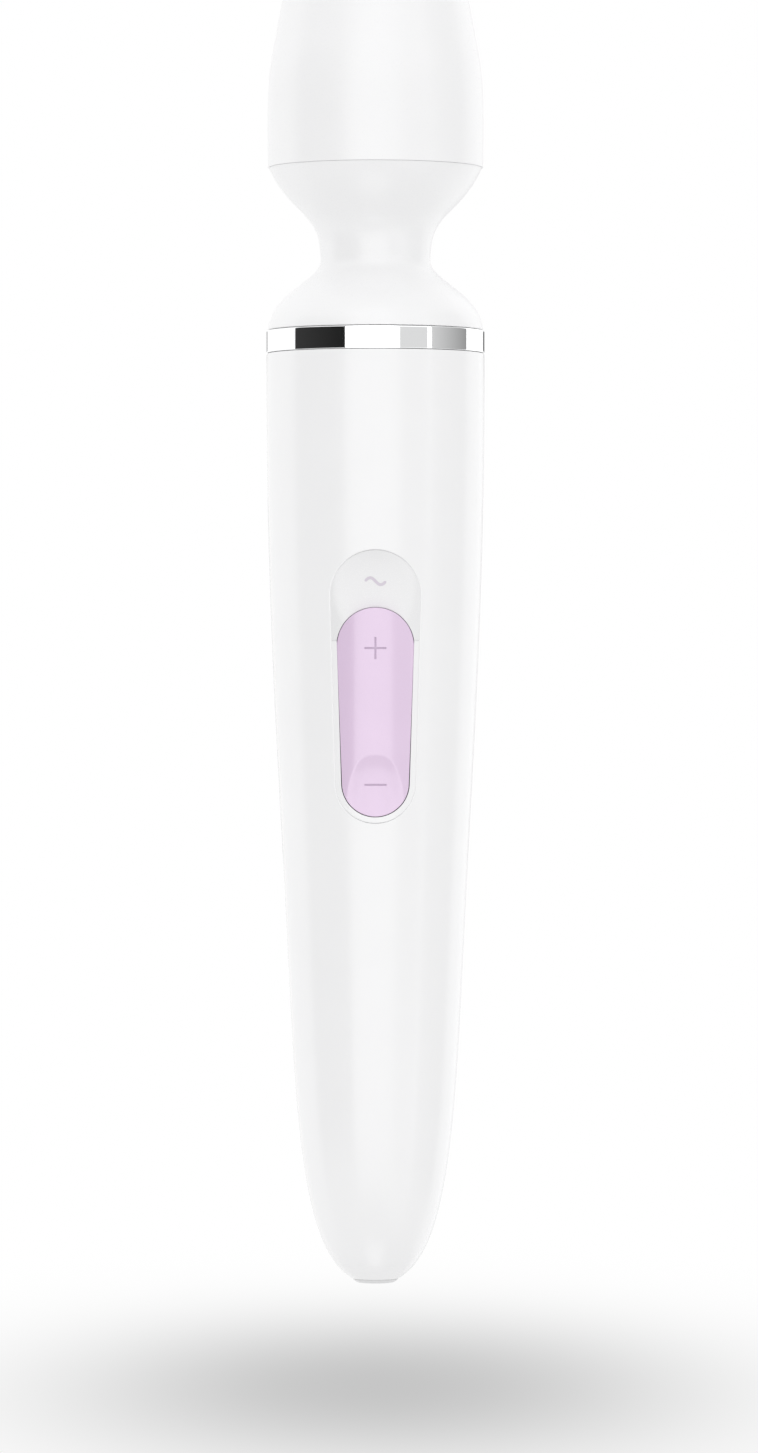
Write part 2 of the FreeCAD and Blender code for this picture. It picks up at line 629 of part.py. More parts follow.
def main_board():
    """The board with its screws, the three switches, the connectors and the chips."""
    body = new_body("main_board")
    board = box("-board_half_width", "board_half_width", "board_low", "board_high")
    pad(body, board, "XZ_Plane", "board_back", "board_front - board_back")
    holes = circles(*[(x, z, SCREW_HOLE) for x, z in board_stands()])
    pocket(body, holes, "XZ_Plane", "board_front", "board_front - board_back")
    keep(body, "main_board")
    bearing = [(x, "-board_front", z) for x, z in board_stands()]
    screws("board_screws", bearing, "+Y", "board_screw_length")
    bearing = [(x, "-chassis_front", z) for x, z in post_places()]
    screws("chassis_screws", bearing, "+Y", "chassis_screw_length")
    switches = []
    for name in ("mode", "plus", "minus"):
        middle = f"{name}_height"
        case = on_board(
            f"{name}_switch_case", "switch_side", "switch_depth", "switch_side", f"{middle} - switch_side / 2",
        )
        stem = cylinder(
            f"{name}_switch_stem", "switch_stem_radius", "switch_stem_length",
            "0", "-board_front", middle, "-Y",
        )
        switches.append(fuse(f"{name}_switch", [case, stem]))
    group("tact_switches", switches)
    depth, height = "connector_depth", "connector_height"
    low = on_board("battery_connector", "battery_connector_width", depth, height, "board_low + connector_inset")
    high = on_board(
        "motor_connector", "motor_connector_width", depth, height, f"board_high - connector_inset - {height}",
    )
    group("board_connectors", [low, high])
    side = "control_chip_side"
    group("board_chips", [
        on_board("control_chip", side, "control_chip_depth", side, "control_chip_low"),
        on_board("drive_chip", "drive_chip_width", "drive_chip_depth", "drive_chip_height", "drive_chip_low"),
    ])


# ---- controls ----------------------------------------------------------------------------

def panel_radius(height, inset):
    """The radius of the cone that the controls' faces lie on, at a height, less an inset."""
    slope = "(panel_high_radius - panel_low_radius) / (panel_high_height - panel_low_height)"
    return f"panel_low_radius + ({height} - panel_low_height) * {slope} - ({inset})"


def trim_to_panel(body, inset, thickness=None):
    """Turn away all that lies outside the panel's cone, and all that lies inside its thickness."""
    low, high, far = "100", "200", "60"
    groove(body, [
        (panel_radius(low, inset), low), (far, low), (far, high), (panel_radius(high, inset), high),
    ])
    if thickness:
        inner = f"{inset} + {thickness}"
        groove(body, [
            ("0", low), (panel_radius(low, inner), low), (panel_radius(high, inner), high), ("0", high),
        ])


def add_plunger(body, height):
    """The stem behind a key that reaches down to its switch."""
    stem = circles(("0", height, "plunger_radius"))
    pad(body, stem, "XZ_Plane", "plunger_back", f"{panel_radius(height, 'plunger_sink')} - plunger_back")


def hollow_face(body, height, radius, depth, inset):
    """Sink a round hollow across a key, deepest at a height."""
    face = panel_radius(height, inset)
    hollow = circles((f"-({face}) - {radius} + {depth}", height, radius))
    pocket(body, hollow, "YZ_Plane", "0", THROUGH, both_ways=True)


def cut_bar(body, half_width, half_height, middle, inset):
    """Sink one bar of a mark into a key's face."""
    bar = box(f"-{half_width}", half_width, f"{middle} - {half_height}", f"{middle} + {half_height}")
    pocket(body, bar, "XZ_Plane", "blank_front", f"blank_front - ({panel_radius(middle, inset)})")


def control_bezel():
    """The frame in the handle's opening: a thin ring, with two ears for the rocker's pin."""
    body = new_body("control_bezel")
    back, front = "membrane_back", "blank_front"
    side = "blank_half_width"
    pad(body, pill_with(RECESS, "-bezel_gap"), "XZ_Plane", back, f"{front} - {back}")
    trim_to_panel(body, "bezel_inset")
    pocket(body, pill_with(RECESS, "-bezel_gap - bezel_wall"), "XZ_Plane", front, f"{front} - {back}")
    step = box(f"-{side}", side, "button_floor - key_gap", f"recess_high + {side}")
    pocket(body, step, "XZ_Plane", front, f"{front} - bezel_step")
    for left, right in (("ear_inner", "ear_outer"), ("-ear_outer", "-ear_inner")):
        ear = box(left, right, "rocker_pivot - ear_half_height", "rocker_pivot + ear_half_height")
        pad(body, ear, "XZ_Plane", "pivot_depth - ear_half_depth", "2 * ear_half_depth")
    pin = circles(("-pivot_depth", "rocker_pivot", "pin_radius"))
    length = "2 * pin_half_length"
    pocket(body, pin, "YZ_Plane", "0", length, both_ways=True)
    keep(body, "control_bezel")
    rod = cylinder(
        "rocker_pin_rod", "pin_radius", length, "-pin_half_length", "-pivot_depth", "rocker_pivot", "+X",
    )
    keep(rod, "rocker_pin", "rocker_pivot")


def mode_button():
    """The upper key: the part of the recess above the rocker, dished for the thumb."""
    body = new_body("mode_button")
    back, front = "plunger_back", "blank_front"
    side = "blank_half_width"
    pad(body, pill_with(RECESS, "-key_side_gap"), "XZ_Plane", back, f"{front} - {back}")
    pocket(body, pill_with(ROCKER, "key_gap"), "XZ_Plane", front, f"{front} - {back}")
    low = box(f"-{side}", side, f"recess_low - {side}", "button_floor")
    pocket(body, low, "XZ_Plane", front, f"{front} - {back}")
    trim_to_panel(body, "mode_inset", "mode_thickness")
    add_plunger(body, "mode_height")
    hollow_face(body, "dish_height", "dish_radius", "dish_depth", "mode_inset")
    return keep(body, "mode_button")


def intensity_rocker():
    """The long key over the pivot pin: a curved plate with a hub and two plungers behind it."""
    body = new_body("intensity_rocker")
    pad(body, pill(*ROCKER), "XZ_Plane", "hub_back", "blank_front - hub_back")
    trim_to_panel(body, "-rocker_proud", "key_thickness")
    hub = box(
        "-hub_half_width", "hub_half_width", "rocker_pivot - hub_half_height", "rocker_pivot + hub_half_height",
    )
    pad(body, hub, "XZ_Plane", "hub_back", f"{panel_radius('rocker_pivot', 'plunger_sink')} - hub_back")
    for height in ("plus_height", "minus_height"):
        add_plunger(body, height)
    pin = circles(("-pivot_depth", "rocker_pivot", "pin_radius + running_gap"))
    pocket(body, pin, "YZ_Plane", "0", THROUGH, both_ways=True)
    hollow_face(body, "minus_height", "scoop_radius", "scoop_depth", "-rocker_proud")
    half, stroke = "mark_span / 2", "mark_stroke / 2"
    cut_bar(body, half, stroke, "plus_height", "mark_depth - rocker_proud")
    cut_bar(body, stroke, half, "plus_height", "mark_depth - rocker_proud")
    cut_bar(body, half, stroke, "minus_height", "scoop_depth + mark_depth - rocker_proud")
    return keep(body, "intensity_rocker")


def keypad_membrane():
    """The silicone sheet between the keys and the switches, open where the rocker's hub passes."""
    body = new_body("keypad_membrane")
    body.AllowCompound = True
    thickness = "membrane_front - membrane_back"
    pad(body, pill_with(RECESS, "-bezel_wall - membrane_gap"), "XZ_Plane", "membrane_back", thickness)
    slot = box(
        "-blank_half_width", "blank_half_width",
        "rocker_pivot - slot_half_height", "rocker_pivot + slot_half_height",
    )
    pocket(body, slot, "XZ_Plane", "membrane_front", thickness)
    return keep(body, "keypad_membrane")


# ---- chrome ring and neck ----------------------------------------------------------------

def ring_and_base():
    """The chrome ring, the base that it sits round, and the seat for the neck's rubber core."""
    turned("chrome_ring", [
        ("ring_bore", "ring_low"), ("handle_radius - ring_bevel", "ring_low"),
        ("handle_radius", "ring_low + ring_bevel"), ("handle_radius", "ring_high - ring_round"),
        ("handle_radius", "ring_high", "pull"), ("handle_radius - ring_round", "ring_high"),
        ("ring_bore", "ring_high"),
    ])
    body = new_body("neck_base")
    socket, lip = "seat_radius + running_gap", "base_floor + base_lip"
    revolve(body, [
        ("lead_bore", "base_low"), ("base_radius", "base_low"), ("base_radius", lip),
        ("base_hub", lip), ("base_hub", "base_hub_top"), (socket, "base_hub_top"),
        (socket, "base_floor"), ("lead_bore", "base_floor"),
    ])
    places = [(f"{a}boss_offset", f"{b}boss_offset") for a in SIGNS for b in SIGNS]
    holes = circles(*[(x, y, SCREW_HOLE) for x, y in places])
    pocket(body, holes, "XY_Plane", "base_floor", "base_floor - base_low")
    keep(body, "neck_base")
    screws("neck_base_screws", [(x, y, "base_floor") for x, y in places], "-Z", "base_screw_length")
    inner, roof = "seat_radius - seat_wall", "seat_top - seat_roof"
    turned("spring_seat", [
        (inner, "base_floor"), ("seat_radius", "base_floor"), ("seat_radius", "seat_shoulder"),
        ("seat_top_radius", "seat_top"), ("lead_bore", "seat_top"), ("lead_bore", roof),
        ("seat_roof_radius", roof), (inner, "seat_shoulder - seat_step"),
    ])


def neck():
    """The rubber core and its spring, and the silicone sleeve over them."""
    flange = "core_flange_height"
    turned("neck_core", [
        ("core_bore", "seat_top"), ("core_low_flange", "seat_top"), ("core_low_flange", f"seat_top + {flange}"),
        ("core_radius", f"seat_top + 2 * {flange}"), ("core_radius", f"core_top - 2 * {flange}"),
        ("core_high_flange", f"core_top - {flange}"), ("core_high_flange", "core_top"),
        ("core_bore", "core_top"),
    ])
    end = "spring_wire + running_gap"
    helix = doc.addObject("Part::Helix", "spring_path")
    helix.setExpression("Radius", bound("spring_radius"))
    helix.setExpression("Pitch", bound("spring_pitch"))
    helix.setExpression("Height", bound(f"core_top - seat_top - 2 * ({end})"))
    wire = doc.addObject("Part::Circle", "spring_section")
    wire.setExpression("Radius", bound("spring_wire"))
    put(wire, "spring_radius", "0", "0", "-Y")
    coil = doc.addObject("Part::Sweep", "neck_spring_coil")
    coil.Sections = [wire]
    coil.Spine = (helix, ["Edge1"])
    coil.Solid = True
    coil.Frenet = True
    keep(coil, "neck_spring", f"seat_top + {end}")
    wall, slant = "sleeve_wall", "sleeve_slant"
    turned("neck_sleeve", [
        ("foot_radius", "foot_height"),
        ("shoulder_radius", "shoulder_height", "pull"),
        ("slope_radius", "slope_height", "pull"),
        ("throat_radius", "throat_height", "pull"),
        ("waist_radius", "waist_height", "pull"),
        ("flare_radius", "flare_height", "pull"),
        ("bowl_radius", "bowl_height", "pull"),
        ("lip_radius", "lip_height"),
        ("lip_inner_radius", "lip_height"),
        (f"bowl_radius - {slant}", f"bowl_height + {slant}", "pull"),
        (f"flare_radius - {wall}", f"flare_height + {slant}", "pull"),
        (f"waist_radius - {wall}", "waist_height", "pull"),
        (f"throat_radius - {wall}", "throat_height", "pull"),
        (f"slope_radius - {slant}", f"slope_height - {slant}", "pull"),
        ("shoulder_inner_radius", "shoulder_inner_height", "pull"),
        ("skirt_inner_radius", "foot_height"),
        ("skirt_inner_radius", "skirt_low"),
        ("skirt_outer_radius", "skirt_low"),
        ("skirt_outer_radius", "foot_height"),
    ])


# ---- head --------------------------------------------------------------------------------

# The control points of the cap's outside, with the share of an inset that lowers each.
CAP_CURVE = (("belly", "0"), ("upper", "0"), ("taper", "0.12"), ("brow", "0.4"), ("crown", "1"))


def cap_curve(inset, first=0):
    """The cap's outside moved inwards, and downwards towards the crown."""
    return [
        (f"{name}_radius - ({inset})", f"{name}_height - {share} * ({inset})", "pull")
        for name, share in CAP_CURVE[first:]
    ]


def head_shells():
    """The silicone cap and the two rigid housings under it and under the sleeve's bowl."""
    turned("head_cap", [
        ("rim_radius", "rim_height"), *cap_curve("0"), ("0", "crown_height"),
        ("0", "crown_height - cap_wall"), *cap_curve("cap_wall")[::-1], ("rim_radius - cap_wall", "rim_height"),
    ])
    out = "cap_wall + fit_gap"
    deep = f"{out} + housing_wall"
    turned("head_housing_upper", [
        (f"belly_radius - ({out})", "housing_joint"), *cap_curve(out, 1), ("0", f"crown_height - ({out})"),
        ("0", f"crown_height - ({deep})"), *cap_curve(deep, 1)[::-1],
        (f"belly_radius - ({deep})", "housing_joint"),
    ])
    body = new_body("head_housing_lower")
    revolve(body, [
        ("lead_bore", "core_top"), ("pan_foot_radius", "core_top"), ("pan_knee_radius", "pan_knee_height"),
        ("pan_side_radius", "pan_side_height"), (f"belly_radius - ({out})", "pan_rim_height"),
        (f"belly_radius - ({out})", "housing_joint"), (f"belly_radius - ({deep})", "housing_joint"),
        (f"belly_radius - ({deep})", "pan_inner_height"), ("pan_floor_radius", "pan_floor_height"),
        ("cradle_tube", "pan_floor_height"), ("cradle_tube", "cradle_neck_height"),
        ("cradle_radius", "cradle_ring_low"), ("cradle_radius", "cradle_top"), ("cradle_bore", "cradle_top"),
        ("cradle_bore", "cradle_low"), ("bell_pocket", "cradle_low"), ("bell_pocket", "bell_seat"),
        ("lead_bore", "bell_seat"),
    ])
    pocket(body, clamp_holes(), "XY_Plane", "cradle_top", "clamp_hole_depth")
    return keep(body, "head_housing_lower")


def clamp_places():
    """Three points a third of a turn apart on the clamp's screw circle."""
    ring = "clamp_screw_circle"
    across = f"{ring} * cos(30deg)"
    return [("0", ring), (across, f"-{ring} / 2"), (f"-{across}", f"-{ring} / 2")]


def clamp_holes():
    return circles(*[(x, y, SCREW_HOLE) for x, y in clamp_places()])


def motor():
    """The motor's fixed pieces, its rubber sleeve and the clamp that holds it down."""
    inner, ceiling = "motor_radius - motor_wall", "motor_high - motor_wall"
    turned("motor_can", [
        (inner, "motor_low"), ("motor_radius", "motor_low"), ("motor_radius", "motor_high"),
        ("bearing_boss", "motor_high"), ("bearing_boss", "bearing_boss_top"),
        ("bearing_radius", "bearing_boss_top"), ("bearing_radius", ceiling), (inner, ceiling),
    ])
    spigot = f"{inner} - spigot_wall"
    turned("motor_end_bell", [
        ("bearing_radius", "bell_low"), ("motor_radius", "bell_low"), ("motor_radius", "motor_low"),
        (inner, "motor_low"), (inner, "spigot_top"), (spigot, "spigot_top"), (spigot, "motor_low"),
        ("bearing_radius", "motor_low"),
    ])
    bore = "shaft_radius + running_gap"
    tube("motor_bush_upper", bore, "bearing_radius", ceiling, "bearing_boss_top - bush_inset")
    tube("motor_bush_lower", bore, "bearing_radius", "bell_low + bush_inset", "motor_low - bush_inset")
    magnets = []
    low = "armature_low - magnet_overhang"
    length = f"armature_high + magnet_overhang - ({low})"
    for number, turn in enumerate(MAGNET_TURNS):
        sector = doc.addObject("Part::Cylinder", f"motor_magnet_sector_{number}")
        sector.setExpression("Radius", bound(inner))
        sector.setExpression("Height", bound(length))
        sector.Angle = MAGNET_SWEEP
        put(sector, "0", "0", low)
        sector.Placement.Rotation = Rotation(Vector(0, 0, 1), turn)
        core = cylinder(f"motor_magnet_bore_{number}", f"{inner} - magnet_thickness", length, "0", "0", low)
        magnets.append(cut(f"motor_magnet_{number}", sector, core))
    group("motor_magnets", magnets)
    reach = "commutator_radius + running_gap"
    side = "-brush_width / 2"
    brushes = []
    for number, (brush_left, arm_left) in enumerate((
        (reach, f"{reach} + brush_length"),
        (f"-({reach}) - brush_length", f"-({reach}) - brush_length - brush_arm"),
    )):
        brush = block(
            f"brush_{number}", "brush_length", "brush_width", "brush_rise", brush_left, side,
            "brush_height - brush_rise / 2",
        )
        arm = block(
            f"brush_arm_{number}", "brush_arm", "brush_width", "brush_height + brush_rise / 2 - motor_low",
            arm_left, side, "motor_low",
        )
        brushes.append(fuse(f"brush_gear_{number}", [brush, arm]))
    group("motor_brushes", brushes)
    tube(
        "motor_sleeve", "motor_radius + running_gap", "cradle_bore - running_gap", "cradle_low", "cradle_top",
    )
    clamp = new_body("motor_clamp")
    top = "cradle_top + clamp_thickness"
    revolve(clamp, [
        ("clamp_bore", "cradle_top"), ("cradle_radius", "cradle_top"),
        ("cradle_radius", top), ("clamp_bore", top),
    ])
    pocket(clamp, clamp_holes(), "XY_Plane", top, "clamp_thickness")
    keep(clamp, "motor_clamp")
    bearing = [(x, y, top) for x, y in clamp_places()]
    screws("motor_clamp_screws", bearing, "-Z", "clamp_screw_length + clamp_thickness")


def rotor():
    """Everything that turns: shaft, armature, commutator and the eccentric weight."""
    tube("motor_shaft", "0", "shaft_radius", "shaft_low", "shaft_high")
    body = new_body("armature_core")
    length = "armature_high - armature_low"
    rings = circles(("0", "0", "armature_radius"), ("0", "0", "shaft_radius"))
    pad(body, rings, "XY_Plane", "armature_low", length)
    slot = box("-slot_width / 2", "slot_width / 2", "slot_floor", "armature_radius + slot_width")
    first = pocket(body, slot, "XY_Plane", "armature_high", length)
    slots = body.newObject("PartDesign::PolarPattern", "armature_slots")
    slots.Originals = [first]
    slots.Axis = (first.Profile[0], ["N_Axis"])
    slots.Angle = 360
    slots.Occurrences = ARMATURE_SLOTS
    body.Tip = slots
    keep(body, "armature_core")
    coils = []
    for name, height in (("low", "armature_low - winding_overhang"), ("high", "armature_high")):
        outer = cylinder(f"winding_{name}_outer", "winding_radius", "winding_overhang", "0", "0", height)
        inner = cylinder(f"winding_{name}_inner", "commutator_radius", "winding_overhang", "0", "0", height)
        coils.append(cut(f"winding_{name}", outer, inner))
    group("armature_windings", coils)
    tube("commutator", "shaft_radius", "commutator_radius", "commutator_low", "commutator_high")
    weight = new_body("eccentric_weight")
    height, beyond = "weight_high - weight_low", "weight_radius + running_gap"
    pad(weight, circles(("0", "0", "weight_radius")), "XY_Plane", "weight_low", height)
    pocket(weight, box(f"-({beyond})", beyond, "0", beyond), "XY_Plane", "weight_high", height)
    pad(weight, circles(("0", "0", "weight_hub")), "XY_Plane", "weight_low", height)
    pocket(weight, circles(("0", "0", "shaft_radius")), "XY_Plane", "weight_high", height)
    keep(weight, "eccentric_weight")


# ---- leads -------------------------------------------------------------------------------

def leads():
    """The three pairs of wires: head to board, battery to board and charging board to board."""
    front = "-board_front - lead_clearance"
    rise = [
        ("-lead_pass_depth", "lead_pass_low"), (front, "lead_pass_high"),
        (front, "board_low + connector_inset"),
    ]
    to_board = [
        ("0", "bell_low"), ("0", "motor_lead_bend"), (front, "motor_lead_landing"),
        (front, "board_high - connector_inset"),
    ]
    lead_pair("motor_leads", "lead_gap / 2", [to_board, to_board])
    behind_tray = [("lead_back_depth", "tray_high"), ("lead_turn_depth", "lead_turn_height")]
    bottom = [
        ("cell_lead_depth", "cell_low - tab_thickness"), ("cell_lead_depth", "cell_lead_low"),
        ("lead_back_depth", "cell_lead_low"),
    ]
    top = [("0", "cell_low + cell_length + tab_thickness"), ("0", "cell_lead_high")]
    lead_pair("battery_leads", "lead_gap / 2", [bottom + behind_tray + rise, top + rise])
    charging = [
        ("charge_lead_depth", "charge_board_top"), ("charge_lead_depth", "charge_lead_bend"),
        ("lead_back_depth", "tray_low + tray_end"),
    ]
    charging_route = charging + behind_tray + rise
    lead_pair("charge_leads", "charge_lead_gap / 2", [charging_route, charging_route])


front_shell()
rear_shell()
end_plug()
charging_parts()
battery_cell()
chassis()
main_board()
control_bezel()
mode_button()
intensity_rocker()
keypad_membrane()
ring_and_base()
neck()
head_shells()
motor()
rotor()
leads()
doc.recompute()

for item in doc.Objects:
    if {"Invalid", "Error"} & set(item.State):
        raise RuntimeError(f"{item.Label} did not build: {item.State}")
for item in sub_parts:
    if item.Shape.isNull() or not item.Shape.isValid():
        raise RuntimeError(f"{item.Label} has no valid shape")

os.makedirs("parts", exist_ok=True)
for item in sub_parts:
    item.Shape.exportStep(f"parts/{item.Label}.step")
    span = item.Shape.BoundBox
    print(f"{item.Label}: {item.Shape.Volume / 1000:.2f} cm3, z {span.ZMin:.2f} to {span.ZMax:.2f}")
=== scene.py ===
import math

import bmesh
import bpy
import numpy as np
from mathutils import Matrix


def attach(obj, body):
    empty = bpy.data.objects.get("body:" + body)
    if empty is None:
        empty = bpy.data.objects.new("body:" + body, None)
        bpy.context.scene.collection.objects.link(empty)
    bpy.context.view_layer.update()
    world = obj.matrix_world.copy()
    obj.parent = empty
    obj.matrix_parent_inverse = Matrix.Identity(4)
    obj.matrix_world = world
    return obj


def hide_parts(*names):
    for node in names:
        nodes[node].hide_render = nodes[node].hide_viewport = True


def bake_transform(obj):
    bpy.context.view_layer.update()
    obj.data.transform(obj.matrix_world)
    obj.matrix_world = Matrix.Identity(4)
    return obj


# Handheld wand massager. Sizes are in millimetres, and heights run up the wand's axis from the
# tip of the handle. new_piece() turns them into the row frame, in metres.

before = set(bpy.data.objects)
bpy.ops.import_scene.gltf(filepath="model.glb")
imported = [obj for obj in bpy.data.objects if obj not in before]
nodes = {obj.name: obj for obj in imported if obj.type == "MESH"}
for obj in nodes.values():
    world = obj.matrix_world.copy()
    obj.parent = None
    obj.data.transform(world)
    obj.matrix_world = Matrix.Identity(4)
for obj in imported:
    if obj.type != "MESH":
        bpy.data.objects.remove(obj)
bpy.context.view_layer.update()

GRIP_HEIGHT = 90.0
MM = 0.001
PIVOT = 256.0


# ---- curves and sections -----------------------------------------------------------------

def spline(controls, count=400):
    """Points on the clamped uniform cubic curve of these control points."""
    controls = np.array(controls, float)
    degree = min(3, len(controls) - 1)
    spans = len(controls) - degree
    knots = np.concatenate([np.zeros(degree), np.arange(spans + 1), np.full(degree, spans)])
    places = np.linspace(0, spans, count)
    weights = np.zeros((count, len(knots) - 1))
    for k in range(len(knots) - 1):
        last = knots[k + 1] == spans
        below = (places < knots[k + 1]) | (last & (places <= knots[k + 1]))
        weights[:, k] = (places >= knots[k]) & below
    weights[:, len(controls):] = 0
    weights[-1] = 0
    weights[-1, len(controls) - 1] = 1
    for d in range(1, degree + 1):
        raised = np.zeros_like(weights)
        for k in range(len(knots) - 1 - d):
            start, end = knots[k], knots[k + d]
            if end > start:
                raised[:, k] += (places - start) / (end - start) * weights[:, k]
            start, end = knots[k + 1], knots[k + d + 1]
            if end > start:
                raised[:, k] += (end - places) / (end - start) * weights[:, k + 1]
        weights = raised
    weights[-1] = 0
    weights[-1, len(controls) - 1] = 1
    return weights[:, :len(controls)] @ controls


def lengths_along(points):
    """How far along a line each of its points is."""
    return np.concatenate([[0], np.cumsum(np.linalg.norm(np.diff(points, axis=0), axis=1))])


def evenly(points, count):
    """The same line with that many points, an even step apart."""
    points = np.array(points, float)
    lengths = lengths_along(points)
    places = np.linspace(0, lengths[-1], count)
    return np.stack([np.interp(places, lengths, column) for column in points.T], axis=1)


def resample(points, step):
    """The same line with its points about that step apart."""
    length = lengths_along(np.array(points, float))[-1]
    return evenly(points, max(2, int(round(length / step)) + 1))


def walk(points, distance):
    """The line cut back by a distance from its end, and the point where it is cut."""
    left = distance
    points = [np.array(p, float) for p in points]
    while len(points) > 1:
        step = points[-2] - points[-1]
        length = np.linalg.norm(step)
        if length > left:
            return points[:-1] + [points[-1] + step / length * left]
        left -= length
        points.pop()
    raise RuntimeError("a corner is rounded past the end of its line")


def rounded(runs, radii, steps=5):
    """A closed section from runs of points.

    Each run ends where the next begins, in a corner that is rounded by its radius.
    """
    section = []
    trimmed = [list(map(np.array, run)) for run in runs]
    for index, radius in enumerate(radii):
        following = (index + 1) % len(trimmed)
        if radius:
            trimmed[index] = walk(trimmed[index], radius)
            trimmed[following] = walk(trimmed[following][::-1], radius)[::-1]
    for index, run in enumerate(trimmed):
        section += run if not section else run[1:] if np.allclose(section[-1], run[0]) else run
        radius = radii[index]
        if radius:
            start, corner = run[-1], np.array(runs[index][-1], float)
            end = trimmed[(index + 1) % len(trimmed)][0]
            for t in np.linspace(0, 1, steps + 2)[1:-1]:
                section.append((1 - t) ** 2 * start + 2 * t * (1 - t) * corner + t * t * end)
    if np.allclose(section[0], section[-1]):
        section.pop()
    return np.array(section)


# ---- meshes ------------------------------------------------------------------------------

def new_piece(name, points, faces, material, sharp=35):
    """A mesh piece from points in millimetres, with its edges sharp above an angle."""
    points = np.array(points, float)
    points[:, 2] -= GRIP_HEIGHT
    mesh = bpy.data.meshes.new(name)
    mesh.from_pydata((points * MM).tolist(), [], faces)
    mesh.validate()
    shape = bmesh.new()
    shape.from_mesh(mesh)
    bmesh.ops.recalc_face_normals(shape, faces=shape.faces[:])
    shape.to_mesh(mesh)
    shape.free()
    mesh.update()
    for polygon in mesh.polygons:
        polygon.use_smooth = True
    mesh.set_sharp_from_angle(angle=math.radians(sharp))
    mesh.materials.append(material)
    piece = bpy.data.objects.new(name, mesh)
    bpy.context.scene.collection.objects.link(piece)
    return piece


def turn(section, steps=192):
    """Points and faces of a closed section, (radius, height), turned about the axis."""
    section = np.array(section, float)
    angles = np.arange(steps) * 2 * math.pi / steps
    points, rings = [], []
    for radius, height in section:
        if radius < 1e-6:
            rings.append([len(points)] * steps)
            points.append((0, 0, height))
            continue
        rings.append(list(range(len(points), len(points) + steps)))
        points += [(radius * math.sin(a), -radius * math.cos(a), height) for a in angles]
    faces = []
    for low, high in zip(rings, rings[1:] + rings[:1]):
        for k in range(steps):
            corners = [low[k], low[(k + 1) % steps], high[(k + 1) % steps], high[k]]
            corners = list(dict.fromkeys(corners))
            if len(corners) > 2:
                faces.append(corners)
    return points, faces


def boundary(faces):
    """Edges that only one face has, each in that face's direction."""
    edges = {}
    for face in faces:
        for a, b in zip(face, face[1:] + face[:1]):
            edges[(a, b)] = True
    return [(a, b) for a, b in edges if (b, a) not in edges]


def shell_between(outer, inner, faces):
    """A closed skin from two point sets that share one sheet of faces."""
    count = len(outer)
    back = [[count + k for k in face[::-1]] for face in faces]
    sides = [[b, a, count + a, count + b] for a, b in boundary(faces)]
    return np.concatenate([outer, inner]), faces + back + sides


def fall(distance, radius):
    """How far a rounded edge drops at a distance from the edge."""
    reach = np.clip(radius - np.asarray(distance, float), 0, radius)
    return radius - np.sqrt(np.maximum(radius ** 2 - reach ** 2, 0))


# ---- materials ---------------------------------------------------------------------------

def nodes_of(name):
    """A new material with its node tree and its shader."""
    material = bpy.data.materials.new(name)
    material.use_nodes = True
    tree = material.node_tree
    shader = tree.nodes["Principled BSDF"]
    return material, tree, shader


def link(tree, source, output, target, entry):
    tree.links.new(source.outputs[output], target.inputs[entry])


def noise(tree, scale, detail=2.0, stretch=(1, 1, 1), roughness=0.5):
    """A noise in the piece's own metres, stretched by direction."""
    coords = tree.nodes.new("ShaderNodeTexCoord")
    mapping = tree.nodes.new("ShaderNodeMapping")
    mapping.inputs["Scale"].default_value = stretch
    texture = tree.nodes.new("ShaderNodeTexNoise")
    texture.inputs["Scale"].default_value = scale
    texture.inputs["Detail"].default_value = detail
    texture.inputs["Roughness"].default_value = roughness
    link(tree, coords, "Object", mapping, "Vector")
    link(tree, mapping, "Vector", texture, "Vector")
    return texture


def bands(tree, scale, direction, distortion=0.0):
    """Parallel bands across one axis of the piece."""
    coords = tree.nodes.new("ShaderNodeTexCoord")
    texture = tree.nodes.new("ShaderNodeTexWave")
    texture.bands_direction = direction
    texture.inputs["Scale"].default_value = scale
    texture.inputs["Distortion"].default_value = distortion
    link(tree, coords, "Object", texture, "Vector")
    return texture


def ramp_between(tree, texture, output, dark, light, low=0.35, high=0.65):
    """A colour that runs from dark to light as the texture goes from low to high."""
    ramp = tree.nodes.new("ShaderNodeValToRGB")
    ramp.color_ramp.elements[0].position = low
    ramp.color_ramp.elements[1].position = high
    ramp.color_ramp.elements[0].color = (*dark, 1)
    ramp.color_ramp.elements[1].color = (*light, 1)
    link(tree, texture, output, ramp, "Fac")
    return ramp


def shade(colour, amount):
    return tuple(min(1.0, channel * amount) for channel in colour)


def roughen(tree, shader, texture, output, low, high):
    """Lets the texture vary the roughness between two values."""
    spread = tree.nodes.new("ShaderNodeMapRange")
    spread.inputs["From Min"].default_value = 0.3
    spread.inputs["From Max"].default_value = 0.7
    spread.inputs["To Min"].default_value = low
    spread.inputs["To Max"].default_value = high
    link(tree, texture, output, spread, "Value")
    link(tree, spread, "Result", shader, "Roughness")


def raise_with(tree, shader, texture, output, strength, distance):
    """Raises the surface's fine relief, in metres, by the texture."""
    bump = tree.nodes.new("ShaderNodeBump")
    bump.inputs["Strength"].default_value = strength
    bump.inputs["Distance"].default_value = distance
    link(tree, texture, output, bump, "Height")
    link(tree, bump, "Normal", shader, "Normal")


